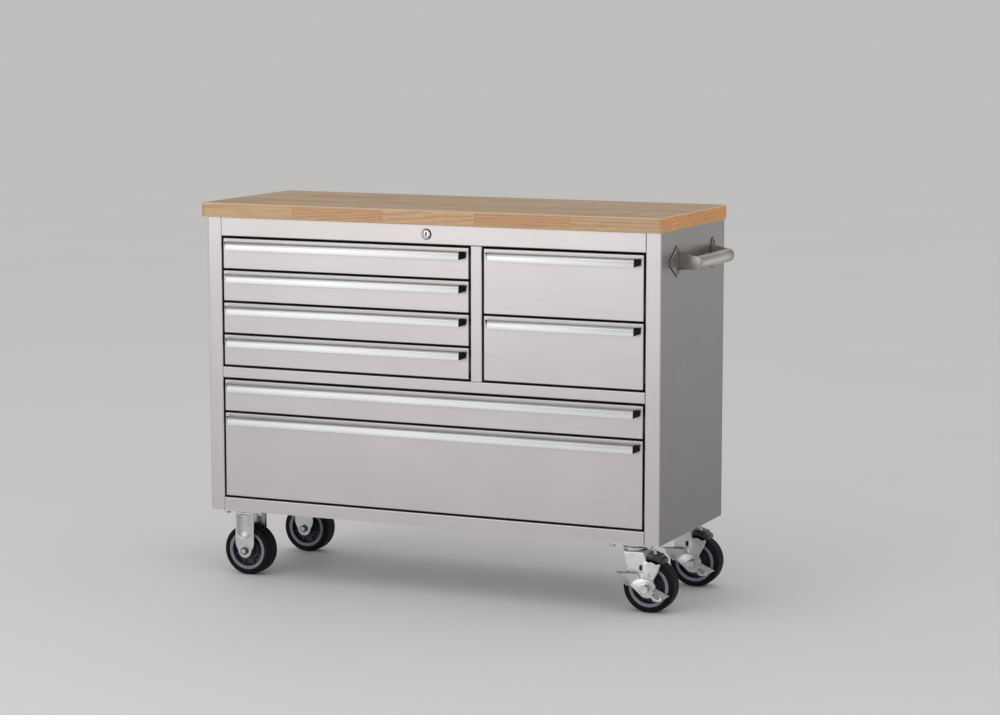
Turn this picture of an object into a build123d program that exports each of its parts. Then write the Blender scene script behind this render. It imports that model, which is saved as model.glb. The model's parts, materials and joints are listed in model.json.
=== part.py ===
from build123d import *
import os
from math import cos, radians, sin

# Overall sizes of the chest, in millimetres
cabinet_width = 1205
cabinet_depth = 437
cabinet_height = 740
caster_height = 170
worktop_side_overhang = 7
worktop_front_overhang = 20
worktop_thickness = 35
worktop_corner_radius = 6
worktop_edge_radius = 3

# Folded sheet
sheet = 1.2
base_sheet = 2
bend_radius = 2.5
lap_gap = 0.2
seam_gap = 0.5

# Front frame
post_width = 38.5
post_return = 45
top_rail_height = 48.5
middle_rail_height = 28
bottom_rail_height = 33
rail_return = 40
divider_width = 30
divider_centre = 131
top_flange_width = 34

# Drawer fronts and trays
front_gap = 5
small_drawer_count = 4
tall_drawer_count = 2
small_front_height = 75.5
upper_wide_front_height = 78
front_depth = 18
front_edge_radius = 1.6
front_lip = 22
tray_floor_lift = 8
tray_top_drop = 10
tray_rear_space = 19

# Drawer slides, three nested channels on each side of a tray
slide_width = 12.7
slide_height = 36
slide_sheet = 1.2
slide_start = 22
slide_lift = 8
slide_gap = 0.3
outer_rail_depth = 9
middle_rail_depth = 9
inner_rail_depth = 8.7

# Drawer pulls
pull_depth = 22
pull_drop = 8
pull_height = 20
pull_base_top = 7
pull_base_bottom = 15.6
pull_crest = 9.5
pull_wall = 2.2
pull_nose_radius = 6
pull_inset = 6
cap_length = 11
cap_nose_length = 2

# Lock
lock_bezel_radius = 12.5
lock_bezel_depth = 3
lock_barrel_radius = 10.5
lock_barrel_length = 24
lock_plug_radius = 7.5
lock_plug_recess = 0.6
keyway_width = 2.2
keyway_height = 8
lock_nut_flats = 27
lock_nut_depth = 4
lock_shaft_radius = 4
crank_radius = 8
crank_swing = 45
crank_thickness = 4
crank_pin_radius = 2.5
crank_slot_gap = 0.4
lock_tab_width = 26
lock_tab_ahead = 7
lock_bar_thickness = 3
lock_bar_width = 20
lock_bar_space = 6
lock_bar_offset = 60
lock_finger_width = 16
lock_finger_reach = 14
lock_finger_gap = 1.5
lock_slot_gap = 3

# Push handle on the right side
handle_reach = 60
handle_tube_radius = 16
handle_tube_wall = 2
handle_drop = 79
handle_front_margin = 117.5
handle_back_margin = 98.5
handle_plate = 3
handle_arm_height = 42
handle_arm_lift = 4
bracket_screw_radius = 12
bracket_tail = 38
bracket_screw_inset = 15
bracket_screw_spread = 24
handle_screw_shank = 2.5
handle_screw_head = 5.5
handle_screw_head_height = 3
handle_screw_length = 10

# Casters
caster_inset_x = 80
caster_inset_y = 59
plate_length = 112
plate_width = 92
plate_thickness = 4
plate_corner_radius = 8
plate_bolt_x = 48
plate_bolt_y = 34
bolt_radius = 4
bolt_flats = 13
bolt_head_height = 5.3
bolt_rise = 6
bolt_hole_gap = 0.25
wheel_radius = 63.5
wheel_width = 50
tyre_depth = 13.5
tyre_shoulder_radius = 8
rim_depth = 7
rim_width = 46
web_width = 14
hub_radius = 17
hub_gap = 0.4
bond_gap = 0.1
axle_radius = 6
axle_flats = 19
axle_head_height = 7
brake_nut_radius = 12.5
brake_nut_height = 20
running_clearance = 0.05
fork_side_gap = 2
fork_thickness = 4
fork_foot_radius = 18
fork_leg_width = 52
fork_leg_straight = 20
fork_crown_height = 5
fork_crown_half_length = 32
fork_pocket_radius = 12
fork_pocket_depth = 1.5
fork_pocket_drop = 16
fork_pocket_rise = 36.5
raceway_radius = 34
raceway_height = 8
raceway_gap = 0.3
swivel_ring_radius = 31
swivel_ring_height = 7.7
swivel_crown_height = 5
swivel_top_front = 34
swivel_top_back = 26
swivel_foot_radius = 21
swivel_trail = 38
swivel_turn = 3
kingpin_radius = 7
kingpin_head_radius = 12
kingpin_head_height = 6
pedal_thickness = 3
pedal_gap = 0.3
pedal_hub_radius = 17
pedal_foot_angle = 149
pedal_foot_length = 64
pedal_release_angle = -27
pedal_release_length = 54
pedal_foot_width = 26
pedal_tab_length = 38
pedal_tab_width = 24
pedal_slot_length = 16
pedal_slot_width = 6

# Places that follow from the sizes above
half_width = cabinet_width / 2
base_z = caster_height
top_z = caster_height + cabinet_height
inner_left = -half_width + post_width
inner_right = half_width - post_width
divider_left = divider_centre - divider_width / 2
divider_right = divider_centre + divider_width / 2
column_height = small_drawer_count * (small_front_height + front_gap) + front_gap
tall_front_height = (column_height - front_gap) / tall_drawer_count - front_gap
rails_height = top_rail_height + middle_rail_height + bottom_rail_height
wide_space = cabinet_height - rails_height - column_height
lower_wide_front_height = wide_space - upper_wide_front_height - 3 * front_gap
lower_wide_bottom = base_z + bottom_rail_height + front_gap
upper_wide_bottom = lower_wide_bottom + lower_wide_front_height + front_gap
middle_rail_bottom = upper_wide_bottom + upper_wide_front_height + front_gap
column_bottom = middle_rail_bottom + middle_rail_height
top_rail_bottom = column_bottom + column_height
tray_back = cabinet_depth - tray_rear_space
back_inside = cabinet_depth - sheet
lock_z = top_z - top_rail_height / 2
handle_span = cabinet_depth - handle_front_margin - handle_back_margin
handle_centre_y = handle_front_margin + handle_span / 2
axle_z = wheel_radius
tyre_inner_radius = wheel_radius - tyre_depth
fork_inner_half = wheel_width / 2 + fork_side_gap

# The origin is on the floor under the middle of the whole chest, handle and pulls counted
middle_x = (half_width + handle_reach - half_width - worktop_side_overhang) / 2
middle_y = (cabinet_depth - pull_depth) / 2


def block(x, y, z):
    size = Box(x[1] - x[0], y[1] - y[0], z[1] - z[0])
    return Pos((x[0] + x[1]) / 2, (y[0] + y[1]) / 2, (z[0] + z[1]) / 2) * size


def rod(radius, y, x=0, z=0):
    return Pos(x, (y[0] + y[1]) / 2, z) * Rot(90, 0, 0) * Cylinder(radius, y[1] - y[0])


def post(radius, z, x=0, y=0):
    return Pos(x, y, (z[0] + z[1]) / 2) * Cylinder(radius, z[1] - z[0])


def hexagon_rod(flats, y, x=0, z=0):
    outline = Plane.XZ * RegularPolygon(flats / 2, 6, major_radius=False)
    return Pos(x, y[0], z) * extrude(outline, y[1] - y[0], dir=(0, 1, 0))


def folded(points, thickness=sheet):
    path = FilletPolyline(*points, radius=bend_radius - thickness / 2)
    return trace(path, line_width=thickness)


def upright(profile, z):
    return Pos(0, 0, z[0]) * extrude(profile, z[1] - z[0], dir=(0, 0, 1))


def lengthwise(profile, x):
    return Pos(x[0], 0, 0) * extrude(Plane.YZ * profile, x[1] - x[0], dir=(1, 0, 0))


def plate_across(outline, y):
    return Pos(0, y[0], 0) * extrude(Plane.XZ * outline, y[1] - y[0], dir=(0, 1, 0))


def outline_round(*shapes):
    edges = [edge for shape in shapes for edge in shape.edges()]
    return make_hull(edges)


def save(name, *solids):
    placed = [Pos(-middle_x, -middle_y, 0) * solid for solid in solids]
    export_step(Compound(children=placed) if len(placed) > 1 else placed[0], f"parts/{name}.step")


# Worktop
def make_worktop():
    x = (-half_width - worktop_side_overhang, half_width + worktop_side_overhang)
    top = block(x, (-worktop_front_overhang, cabinet_depth), (top_z, top_z + worktop_thickness))
    top = fillet(top.edges().filter_by(Axis.Z), worktop_corner_radius)
    rims = top.faces().sort_by(Axis.Z)
    return fillet(rims[-1].edges() + rims[0].edges(), worktop_edge_radius)


# Push handle brackets, seen from the right: along the depth, then up
def bracket_screws():
    height = top_z - handle_drop + handle_arm_lift
    places = []
    for end in (-1, 1):
        bend = handle_centre_y + end * handle_span / 2
        near = bend + end * bracket_screw_inset
        far = bend + end * (bracket_screw_inset + bracket_tail)
        places.append((near, height + bracket_screw_spread))
        places.append((near, height - bracket_screw_spread))
        places.append((far, height))
    return places


def screw_holes(x):
    radius = handle_screw_shank + bolt_hole_gap
    length = x[1] - x[0]
    holes = []
    for y, z in bracket_screws():
        holes.append(Pos((x[0] + x[1]) / 2, y, z) * Rot(0, 90, 0) * Cylinder(radius, length))
    return holes


# Side panels, each one folded sheet with a post at its front and rear
def make_side(sign):
    skin = half_width - sheet / 2
    inside = half_width - post_width + sheet / 2
    front = sheet / 2
    rear = back_inside - lap_gap - sheet / 2
    profile = folded([
        (sign * inside, post_return),
        (sign * inside, front),
        (sign * skin, front),
        (sign * skin, rear),
        (sign * inside, rear),
        (sign * inside, rear - post_return),
    ])
    panel = upright(profile, (base_z, top_z))
    flange_x = sorted((sign * (half_width - sheet / 2), sign * (half_width - top_flange_width)))
    flange_y = (post_return + bend_radius, rear - post_return - bend_radius)
    panel += block(flange_x, flange_y, (top_z - sheet, top_z))
    foot_x = sorted((sign * (half_width - sheet), sign * (half_width - post_width - sheet)))
    foot_y = (sheet, back_inside - lap_gap - sheet)
    panel -= block(foot_x, foot_y, (base_z, base_z + base_sheet + lap_gap))
    if sign > 0:
        panel -= screw_holes((half_width - 2 * sheet, half_width + sheet))
    return panel


# Back sheet with a top flange that carries the rear bearing of the lock shaft
def make_back():
    panel = block((-half_width, half_width), (back_inside, cabinet_depth), (base_z, top_z))
    flange_x = (inner_left + lap_gap, inner_right - lap_gap)
    tab_front = tray_back - lock_tab_ahead - lock_bar_thickness
    flange_y = (tab_front, back_inside + sheet / 2)
    panel += block(flange_x, flange_y, (top_z - sheet, top_z))
    tab_x = (-lock_tab_width / 2, lock_tab_width / 2)
    tab_y = (tab_front, tab_front + lock_bar_thickness)
    panel += block(tab_x, tab_y, (lock_z - lock_tab_width / 2, top_z - sheet / 2))
    bearing = lock_shaft_radius + running_clearance
    return panel - rod(bearing, (tab_front - sheet, tab_front + lock_bar_thickness + sheet), z=lock_z)


# Casters: pivots, plate bolts and their holes
def caster_places(sign):
    x = sign * (half_width - caster_inset_x)
    return [(x, caster_inset_y), (x, cabinet_depth - caster_inset_y)]


def plate_bolts():
    places = []
    for x, y in caster_places(-1) + caster_places(1):
        for side in (-1, 1):
            for end in (-1, 1):
                places.append((x + side * plate_bolt_x, y + end * plate_bolt_y))
    return places


def make_base():
    x = (-half_width + sheet + lap_gap, half_width - sheet - lap_gap)
    y = (sheet + lap_gap, back_inside - 2 * lap_gap - sheet)
    panel = block(x, y, (base_z, base_z + base_sheet))
    hole_z = (base_z - sheet, base_z + base_sheet + sheet)
    panel -= [post(bolt_radius + bolt_hole_gap, hole_z, px, py) for px, py in plate_bolts()]
    return panel


# Rails between the posts
rail_x = (inner_left + seam_gap, inner_right - seam_gap)


def make_top_rail():
    low = top_rail_bottom + sheet / 2
    high = top_z - sheet / 2
    profile = folded([(rail_return, high), (sheet / 2, high), (sheet / 2, low), (rail_return, low)])
    rail = lengthwise(profile, rail_x)
    return rail - rod(lock_barrel_radius + bolt_hole_gap, (-sheet, 2 * sheet), z=lock_z)


def make_middle_rail():
    low = middle_rail_bottom + sheet / 2
    high = column_bottom - sheet / 2
    profile = folded([(rail_return, high), (sheet / 2, high), (sheet / 2, low), (rail_return, low)])
    return lengthwise(profile, rail_x)


def make_bottom_rail():
    high = base_z + bottom_rail_height - sheet / 2
    profile = folded([(rail_return, high), (sheet / 2, high), (sheet / 2, base_z)])
    return lengthwise(profile, rail_x)


def make_divider():
    left = divider_left + sheet / 2
    right = divider_right - sheet / 2
    rear = back_inside - lap_gap
    profile = folded([(left, rear), (left, sheet / 2), (right, sheet / 2), (right, rear)])
    return upright(profile, (column_bottom + seam_gap, top_rail_bottom - seam_gap))


# Drawers: name, walls of the opening, bottom and height of the front
def drawer_list():
    drawers = []
    small_pitch = small_front_height + front_gap
    for row in range(small_drawer_count):
        bottom = top_rail_bottom - (row + 1) * small_pitch
        drawers.append((f"left_drawer_{row + 1}", inner_left, divider_left, bottom, small_front_height))
    tall_pitch = tall_front_height + front_gap
    for row in range(tall_drawer_count):
        bottom = top_rail_bottom - (row + 1) * tall_pitch
        drawers.append((f"right_drawer_{row + 1}", divider_right, inner_right, bottom, tall_front_height))
    upper = (inner_left, inner_right, upper_wide_bottom, upper_wide_front_height)
    lower = (inner_left, inner_right, lower_wide_bottom, lower_wide_front_height)
    drawers.append(("wide_drawer_upper", *upper))
    drawers.append(("wide_drawer_lower", *lower))
    return drawers


def channel(wall_x, start, depth, half_height, mouth, toward, centre_z):
    near = wall_x + toward * start
    far = wall_x + toward * (start + depth)
    y = (slide_start, tray_back - lap_gap)
    z = (centre_z - half_height, centre_z + half_height)
    hollow_z = (z[0] + slide_sheet, z[1] - slide_sheet)
    past = (y[0] - slide_sheet, y[1] + slide_sheet)
    if mouth == "tray":
        hollow_x = sorted((near + toward * slide_sheet, far + toward * slide_sheet))
    else:
        hollow_x = sorted((near - toward * slide_sheet, far - toward * slide_sheet))
    return block(sorted((near, far)), y, z) - block(hollow_x, past, hollow_z)


def slide_pair(left_wall, right_wall, bottom, start, depth, half_height, mouth):
    centre_z = bottom + tray_floor_lift + slide_lift + slide_height / 2
    left = channel(left_wall, start, depth, half_height, mouth, 1, centre_z)
    right = channel(right_wall, start, depth, half_height, mouth, -1, centre_z)
    return [left, right]


outer_half = slide_height / 2
middle_half = outer_half - slide_sheet - slide_gap
inner_half = middle_half - slide_sheet - slide_gap


def make_tray(left_wall, right_wall, bottom, height):
    x = (left_wall + slide_width, right_wall - slide_width)
    y = (front_depth, tray_back)
    z = (bottom + tray_floor_lift, bottom + height - tray_top_drop)
    tray = block(x, y, z)
    tray -= block((x[0] + sheet, x[1] - sheet), (y[0] + sheet, y[1] - sheet), (z[0] + sheet, z[1] + sheet))
    half = lock_finger_width / 2 + lock_slot_gap
    tip = tray_back - lock_finger_reach
    slot_x = (lock_finger_x(left_wall) - half, lock_finger_x(left_wall) + half)
    slot_y = (tip - lock_slot_gap, tip + lock_bar_thickness + lock_slot_gap)
    return tray - block(slot_x, slot_y, (z[0] - sheet, z[0] + 2 * sheet))


def make_front(left_wall, right_wall, bottom, height):
    x = (left_wall + front_gap, right_wall - front_gap)
    z = (bottom, bottom + height)
    front = block(x, (0, front_depth), z)
    face = front.faces().sort_by(Axis.Y)[0]
    front = fillet(face.edges() + front.edges().filter_by(Axis.Y), front_edge_radius)
    hollow_x = (x[0] + sheet, x[1] - sheet)
    front -= block(hollow_x, (sheet, front_depth - sheet), (z[0] + sheet, z[1] - sheet))
    window_x = (x[0] + front_lip, x[1] - front_lip)
    return front - block(window_x, (sheet, front_depth + sheet), (z[0] + front_lip, z[1] - front_lip))


def make_pull(left_wall, right_wall, bottom, height):
    top = bottom + height - pull_drop
    half = pull_wall / 2
    nose = pull_depth - half
    path = FilletPolyline(
        (-half, top - pull_base_bottom),
        (-half, top - pull_base_top),
        (-pull_crest, top - half),
        (-nose, top - half),
        (-nose, top - pull_height),
        radius=[pull_wall, pull_nose_radius / 2, pull_nose_radius - half],
    )
    start = left_wall + front_gap + pull_inset
    end = right_wall - front_gap - pull_inset
    rail = lengthwise(trace(path, line_width=pull_wall), (start + cap_length, end - cap_length))
    cap_face = Polygon(
        (0, top - pull_base_bottom),
        (0, top - pull_base_top),
        (-pull_crest, top),
        (-pull_depth, top),
        (-pull_depth, top - pull_height),
        align=None,
    )
    nose_corner = cap_face.vertices().sort_by(Axis.X)[:2].sort_by(Axis.Y)[-1]
    cap_face = fillet(nose_corner, pull_nose_radius)
    right_cap = lengthwise(cap_face, (end - cap_length, end))
    left_cap = lengthwise(cap_face, (start, start + cap_length))
    right_slant = Polygon(
        (end - cap_length, 0),
        (end, 0),
        (end - cap_length + cap_nose_length, -pull_depth),
        (end - cap_length, -pull_depth),
        align=None,
    )
    left_slant = Polygon(
        (start + cap_length, 0),
        (start, 0),
        (start + cap_length - cap_nose_length, -pull_depth),
        (start + cap_length, -pull_depth),
        align=None,
    )
    z = (top - pull_height, top)
    return [rail, left_cap & upright(left_slant, z), right_cap & upright(right_slant, z)]


# Lock: a barrel in the top rail turns a shaft whose crank lifts a bar behind the trays
def make_lock_housing():
    barrel = rod(lock_barrel_radius, (-sheet, lock_barrel_length), z=lock_z)
    bezel = rod(lock_bezel_radius, (-lock_bezel_depth, 0), z=lock_z)
    bezel = fillet(bezel.edges().sort_by(Axis.Y)[0], lock_bezel_depth / 2)
    bore_y = (-2 * lock_bezel_depth, 2 * lock_barrel_length)
    bore = rod(lock_plug_radius + running_clearance, bore_y, z=lock_z)
    nut_y = (sheet + lap_gap, sheet + lap_gap + lock_nut_depth)
    nut = hexagon_rod(lock_nut_flats, nut_y, z=lock_z)
    nut -= rod(lock_barrel_radius + bond_gap, (0, 2 * lock_barrel_length), z=lock_z)
    return [barrel + bezel - bore, nut]


def make_lock_plug():
    face = -lock_bezel_depth + lock_plug_recess
    plug = rod(lock_plug_radius, (face, lock_barrel_length), z=lock_z)
    slot_x = (-keyway_width / 2, keyway_width / 2)
    slot_z = (lock_z - keyway_height / 2, lock_z + keyway_height / 2)
    return plug - block(slot_x, (face - sheet, lock_barrel_length / 2), slot_z)


crank_back = tray_back + lock_bar_space - slide_gap
bar_y = (tray_back + lock_bar_space, tray_back + lock_bar_space + lock_bar_thickness)
crank_pin_x = -crank_radius * cos(radians(crank_swing))
crank_pin_z = lock_z - crank_radius * sin(radians(crank_swing))
bar_lift = 2 * crank_radius * sin(radians(crank_swing))


def make_lock_shaft():
    shaft = rod(lock_shaft_radius, (lock_barrel_length, crank_back), z=lock_z)
    arm = outline_round(
        Pos(0, lock_z) * Circle(lock_shaft_radius + crank_pin_radius),
        Pos(crank_pin_x, crank_pin_z) * Circle(2 * crank_pin_radius),
    )
    crank = plate_across(arm, (crank_back - crank_thickness, crank_back))
    pin = rod(crank_pin_radius, (crank_back, bar_y[1] + 2 * sheet), x=crank_pin_x, z=crank_pin_z)
    return shaft + crank + pin


def lock_finger_x(left_wall):
    if left_wall == divider_right:
        return divider_right + lock_bar_offset
    return divider_left - lock_bar_offset


def make_lock_bar():
    half_bar = lock_bar_width / 2
    cross_x = (-crank_radius - lock_bar_width, lock_finger_x(divider_right) + half_bar)
    bar = block(cross_x, bar_y, (crank_pin_z - half_bar, crank_pin_z + half_bar))
    for wall in (inner_left, divider_right):
        floors = [bottom for _, left, _, bottom, _ in drawer_list() if left == wall]
        x = lock_finger_x(wall)
        low = min(floors) + tray_floor_lift - bar_lift - lock_bar_width
        bar += block((x - half_bar, x + half_bar), bar_y, (low, crank_pin_z))
        finger_x = (x - lock_finger_width / 2, x + lock_finger_width / 2)
        tip_y = tray_back - lock_finger_reach
        for bottom in floors:
            floor = bottom + tray_floor_lift
            ledge = floor - bar_lift - lock_finger_gap
            bar += block(finger_x, (tip_y, bar_y[1]), (ledge - lock_bar_thickness, ledge))
            tip_z = (ledge - lock_bar_thickness, floor - lock_finger_gap)
            bar += block(finger_x, (tip_y, tip_y + lock_bar_thickness), tip_z)
    slot_half = crank_pin_radius + crank_slot_gap
    slot_x = (-crank_radius - slot_half, crank_pin_x + slot_half)
    slot_z = (crank_pin_z - slot_half, crank_pin_z + slot_half)
    return bar - block(slot_x, (bar_y[0] - sheet, bar_y[1] + sheet), slot_z)


# Push handle: a tube welded between two bent brackets
def make_handle():
    tube_x = half_width + handle_reach - handle_tube_radius
    tube_z = top_z - handle_drop
    low = handle_centre_y - handle_span / 2
    high = handle_centre_y + handle_span / 2
    handle = rod(handle_tube_radius, (low, high), x=tube_x, z=tube_z)
    handle -= rod(handle_tube_radius - handle_tube_wall, (low, high), x=tube_x, z=tube_z)
    root = Pos(half_width + handle_plate / 2, tube_z + handle_arm_lift)
    root_edge = root * Rectangle(handle_plate, handle_arm_height)
    arm = outline_round(root_edge, Pos(tube_x, tube_z) * Circle(handle_tube_radius))
    screws = bracket_screws()
    for end, bend in ((-1, low), (1, high)):
        handle += plate_across(arm, sorted((bend, bend + end * handle_plate)))
        ears = [Pos(y, z) * Circle(bracket_screw_radius) for y, z in screws if (y - bend) * end > 0]
        edge = Pos(bend + end * handle_plate / 2, tube_z + handle_arm_lift)
        ears.append(edge * Rectangle(handle_plate, handle_arm_height))
        handle += lengthwise(outline_round(*ears), (half_width, half_width + handle_plate))
    return handle - screw_holes((half_width - sheet, half_width + 2 * handle_plate))


def make_handle_screws():
    screws = []
    face = half_width + handle_plate
    for y, z in bracket_screws():
        head = Cylinder(handle_screw_head, handle_screw_head_height)
        head = fillet(head.edges().sort_by(Axis.Z)[-1], handle_screw_head_height / 2)
        shank = Pos(0, 0, -(handle_screw_length + handle_screw_head_height) / 2)
        screw = head + shank * Cylinder(handle_screw_shank, handle_screw_length)
        screws.append(Pos(face + handle_screw_head_height / 2, y, z) * Rot(0, 90, 0) * screw)
    return screws


# Caster pieces, made about a pivot at the origin with the axle along Y
def make_caster_plate():
    z = (base_z - plate_thickness, base_z)
    plate = block((-plate_length / 2, plate_length / 2), (-plate_width / 2, plate_width / 2), z)
    plate = fillet(plate.edges().filter_by(Axis.Z), plate_corner_radius)
    hole_z = (z[0] - plate_thickness, z[1] + plate_thickness)
    for side in (-1, 1):
        for end in (-1, 1):
            plate -= post(bolt_radius + bolt_hole_gap, hole_z, side * plate_bolt_x, end * plate_bolt_y)
    return plate


def fork_legs(outline, foot_x):
    outer = fork_inner_half + fork_thickness
    legs = plate_across(outline, (fork_inner_half, outer)) + plate_across(outline, (-outer, -fork_inner_half))
    return legs - rod(axle_radius + bond_gap, (-2 * outer, 2 * outer), x=foot_x, z=axle_z)


def make_rigid_fork():
    plate_z = base_z - plate_thickness
    outer = fork_inner_half + fork_thickness
    straight_bottom = axle_z + fork_leg_straight
    straight = Rectangle(fork_leg_width, plate_z - straight_bottom)
    outline = outline_round(
        Pos(0, (plate_z + straight_bottom) / 2) * straight,
        Pos(0, axle_z) * Circle(fork_foot_radius),
    )
    fork = fork_legs(outline, 0)
    crown_x = (-fork_crown_half_length, fork_crown_half_length)
    fork += block(crown_x, (-outer, outer), (plate_z - fork_crown_height, plate_z))
    pocket = outline_round(
        Pos(0, plate_z - fork_pocket_drop) * Circle(fork_pocket_radius),
        Pos(0, axle_z + fork_pocket_rise) * Circle(fork_pocket_radius),
    )
    fork -= plate_across(pocket, (-outer, -outer + fork_pocket_depth))
    fork -= plate_across(pocket, (outer - fork_pocket_depth, outer))
    return fork + make_caster_plate()


def make_axle():
    start = fork_inner_half + fork_thickness + pedal_gap
    end = start + axle_head_height
    head = hexagon_rod(axle_flats, (-end, -start), z=axle_z)
    nut = hexagon_rod(axle_flats, (start, end), z=axle_z)
    return head + nut + rod(axle_radius, (-start, end), z=axle_z)


# The braked axle has a long round nut outside the pedal
def make_braked_axle():
    start = fork_inner_half + fork_thickness + pedal_gap
    pedal_face = start + pedal_thickness + pedal_gap
    round_nut = rod(brake_nut_radius, (-pedal_face - brake_nut_height, -pedal_face), z=axle_z)
    nut = hexagon_rod(axle_flats, (start, start + axle_head_height), z=axle_z)
    return round_nut + nut + rod(axle_radius, (-pedal_face, start + axle_head_height), z=axle_z)


raceway_bottom = base_z - plate_thickness - raceway_height
crown_top = raceway_bottom - raceway_gap - swivel_ring_height
crown_bottom = crown_top - swivel_crown_height


def make_swivel_plate():
    plate = make_caster_plate()
    plate += post(raceway_radius, (raceway_bottom, base_z - plate_thickness))
    head_top = crown_bottom - raceway_gap
    plate += post(kingpin_radius, (head_top - kingpin_head_height, raceway_bottom))
    return plate + post(kingpin_head_radius, (head_top - kingpin_head_height, head_top))


def make_swivel_fork():
    outer = fork_inner_half + fork_thickness
    top_length = swivel_top_front + swivel_top_back
    top_centre = (swivel_top_front - swivel_top_back) / 2
    outline = outline_round(
        Pos(top_centre, crown_bottom + swivel_crown_height / 2) * Rectangle(top_length, swivel_crown_height),
        Pos(swivel_trail, axle_z) * Circle(swivel_foot_radius),
    )
    fork = fork_legs(outline, swivel_trail)
    fork += block((-swivel_top_back, swivel_top_front), (-outer, outer), (crown_bottom, crown_top))
    fork += post(swivel_ring_radius, (crown_bottom, crown_top + swivel_ring_height))
    return fork - post(kingpin_radius + running_clearance, (crown_bottom - sheet, base_z))


def make_pedal():
    inner = fork_inner_half + fork_thickness + pedal_gap
    y = (-inner - pedal_thickness, -inner)
    arms = []
    for angle, length in ((pedal_foot_angle, pedal_foot_length), (pedal_release_angle, pedal_release_length)):
        reach = length - pedal_tab_length / 2
        tip = Rot(0, 0, angle) * Pos(reach, 0) * Rectangle(pedal_tab_length, pedal_foot_width / 2)
        arms.append(outline_round(Circle(pedal_hub_radius), tip))
    pedal = plate_across(arms[0] + arms[1], y)
    for angle, length in ((pedal_foot_angle, pedal_foot_length), (pedal_release_angle, pedal_release_length)):
        tab_x = (length - pedal_tab_length, length)
        lift = pedal_foot_width / 4 if angle > 0 else -pedal_foot_width / 4
        tab_z = sorted((-lift, -lift + (pedal_thickness if angle > 0 else -pedal_thickness)))
        tab = block(tab_x, (y[0] - pedal_tab_width, y[1]), tab_z)
        tab = fillet(tab.edges().filter_by(Axis.Z).sort_by(Axis.Y)[:2], pedal_tab_width / 3)
        if angle < 0:
            middle = Pos(length - pedal_tab_length / 2, y[0] - pedal_tab_width / 2, 0)
            slot = SlotOverall(pedal_slot_length, pedal_slot_width)
            tab -= middle * extrude(slot, pedal_foot_width, both=True)
        pedal += Rot(0, -angle, 0) * tab
    return pedal - rod(axle_radius + running_clearance, (2 * y[0], 0))


def make_wheel():
    section = Pos(tyre_inner_radius + tyre_depth / 2, 0) * Rectangle(tyre_depth, wheel_width)
    section = fillet(section.vertices().group_by(Axis.X)[-1], tyre_shoulder_radius)
    tyre = revolve(section, Axis.Y)
    rim_outer = tyre_inner_radius - bond_gap
    rim_inner = tyre_inner_radius - rim_depth
    bore = axle_radius + running_clearance
    hub_width = 2 * (fork_inner_half - hub_gap)
    core = Pos((rim_inner + rim_outer) / 2, 0) * Rectangle(rim_outer - rim_inner, rim_width)
    core += Pos((hub_radius + rim_inner) / 2, 0) * Rectangle(rim_inner - hub_radius, web_width)
    core += Pos((bore + hub_radius) / 2, 0) * Rectangle(hub_radius - bore, hub_width)
    return [tyre, revolve(core, Axis.Y)]


# Build and save every piece
os.makedirs("parts", exist_ok=True)
save("worktop", make_worktop())
save("left_side_panel", make_side(-1))
save("right_side_panel", make_side(1))
save("back_panel", make_back())
save("base_panel", make_base())
save("top_rail", make_top_rail())
save("middle_rail", make_middle_rail())
save("bottom_rail", make_bottom_rail())
save("centre_divider", make_divider())

outer_rails = []
for name, left_wall, right_wall, bottom, height in drawer_list():
    opening = (left_wall, right_wall, bottom)
    outer_rails += slide_pair(*opening, 0, outer_rail_depth, outer_half, "tray")
    middle_start = slide_sheet + slide_gap
    inner_start = slide_width - inner_rail_depth
    inner_rails = slide_pair(*opening, inner_start, inner_rail_depth, inner_half, "wall")
    save(f"{name}_box", make_tray(*opening, height), *inner_rails)
    save(f"{name}_front", make_front(*opening, height))
    save(f"{name}_pull", *make_pull(*opening, height))
    save(f"{name}_mid_rails", *slide_pair(*opening, middle_start, middle_rail_depth, middle_half, "tray"))
save("slide_outer_rails", *outer_rails)

save("lock_housing", *make_lock_housing())
save("lock_plug", make_lock_plug())
save("lock_shaft", make_lock_shaft())
save("lock_bar", make_lock_bar())
save("push_handle", make_handle())
save("handle_screws", *make_handle_screws())

bolts = []
for x, y in plate_bolts():
    head_z = base_z - plate_thickness - bolt_head_height
    hexagon = RegularPolygon(bolt_flats / 2, 6, major_radius=False)
    head = Pos(x, y, head_z) * extrude(hexagon, bolt_head_height)
    bolts.append(head + post(bolt_radius, (head_z, base_z + base_sheet + bolt_rise), x, y))
save("caster_bolts", *bolts)

rigid_axle = make_axle()
braked_axle = make_braked_axle()
wheel = make_wheel()
rigid_places = [Pos(x, y, 0) for x, y in caster_places(-1)]
save("rigid_caster_forks", *[place * make_rigid_fork() for place in rigid_places])
save("rigid_caster_axles", *[place * rigid_axle for place in rigid_places])
for end, place in zip(("front", "rear"), rigid_places):
    save(f"{end}_left_wheel", *[place * Pos(0, 0, axle_z) * solid for solid in wheel])

swivel_pivots = [Pos(x, y, 0) for x, y in caster_places(1)]
save("swivel_caster_plates", *[place * make_swivel_plate() for place in swivel_pivots])
for end, pivot in zip(("front", "rear"), swivel_pivots):
    turned = pivot * Rot(0, 0, swivel_turn)
    at_axle = turned * Pos(swivel_trail, 0, axle_z)
    save(f"{end}_swivel_fork", turned * make_swivel_fork(), turned * Pos(swivel_trail, 0, 0) * braked_axle)
    save(f"{end}_brake_pedal", at_axle * make_pedal())
    save(f"{end}_right_wheel", *[at_axle * solid for solid in wheel])
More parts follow.
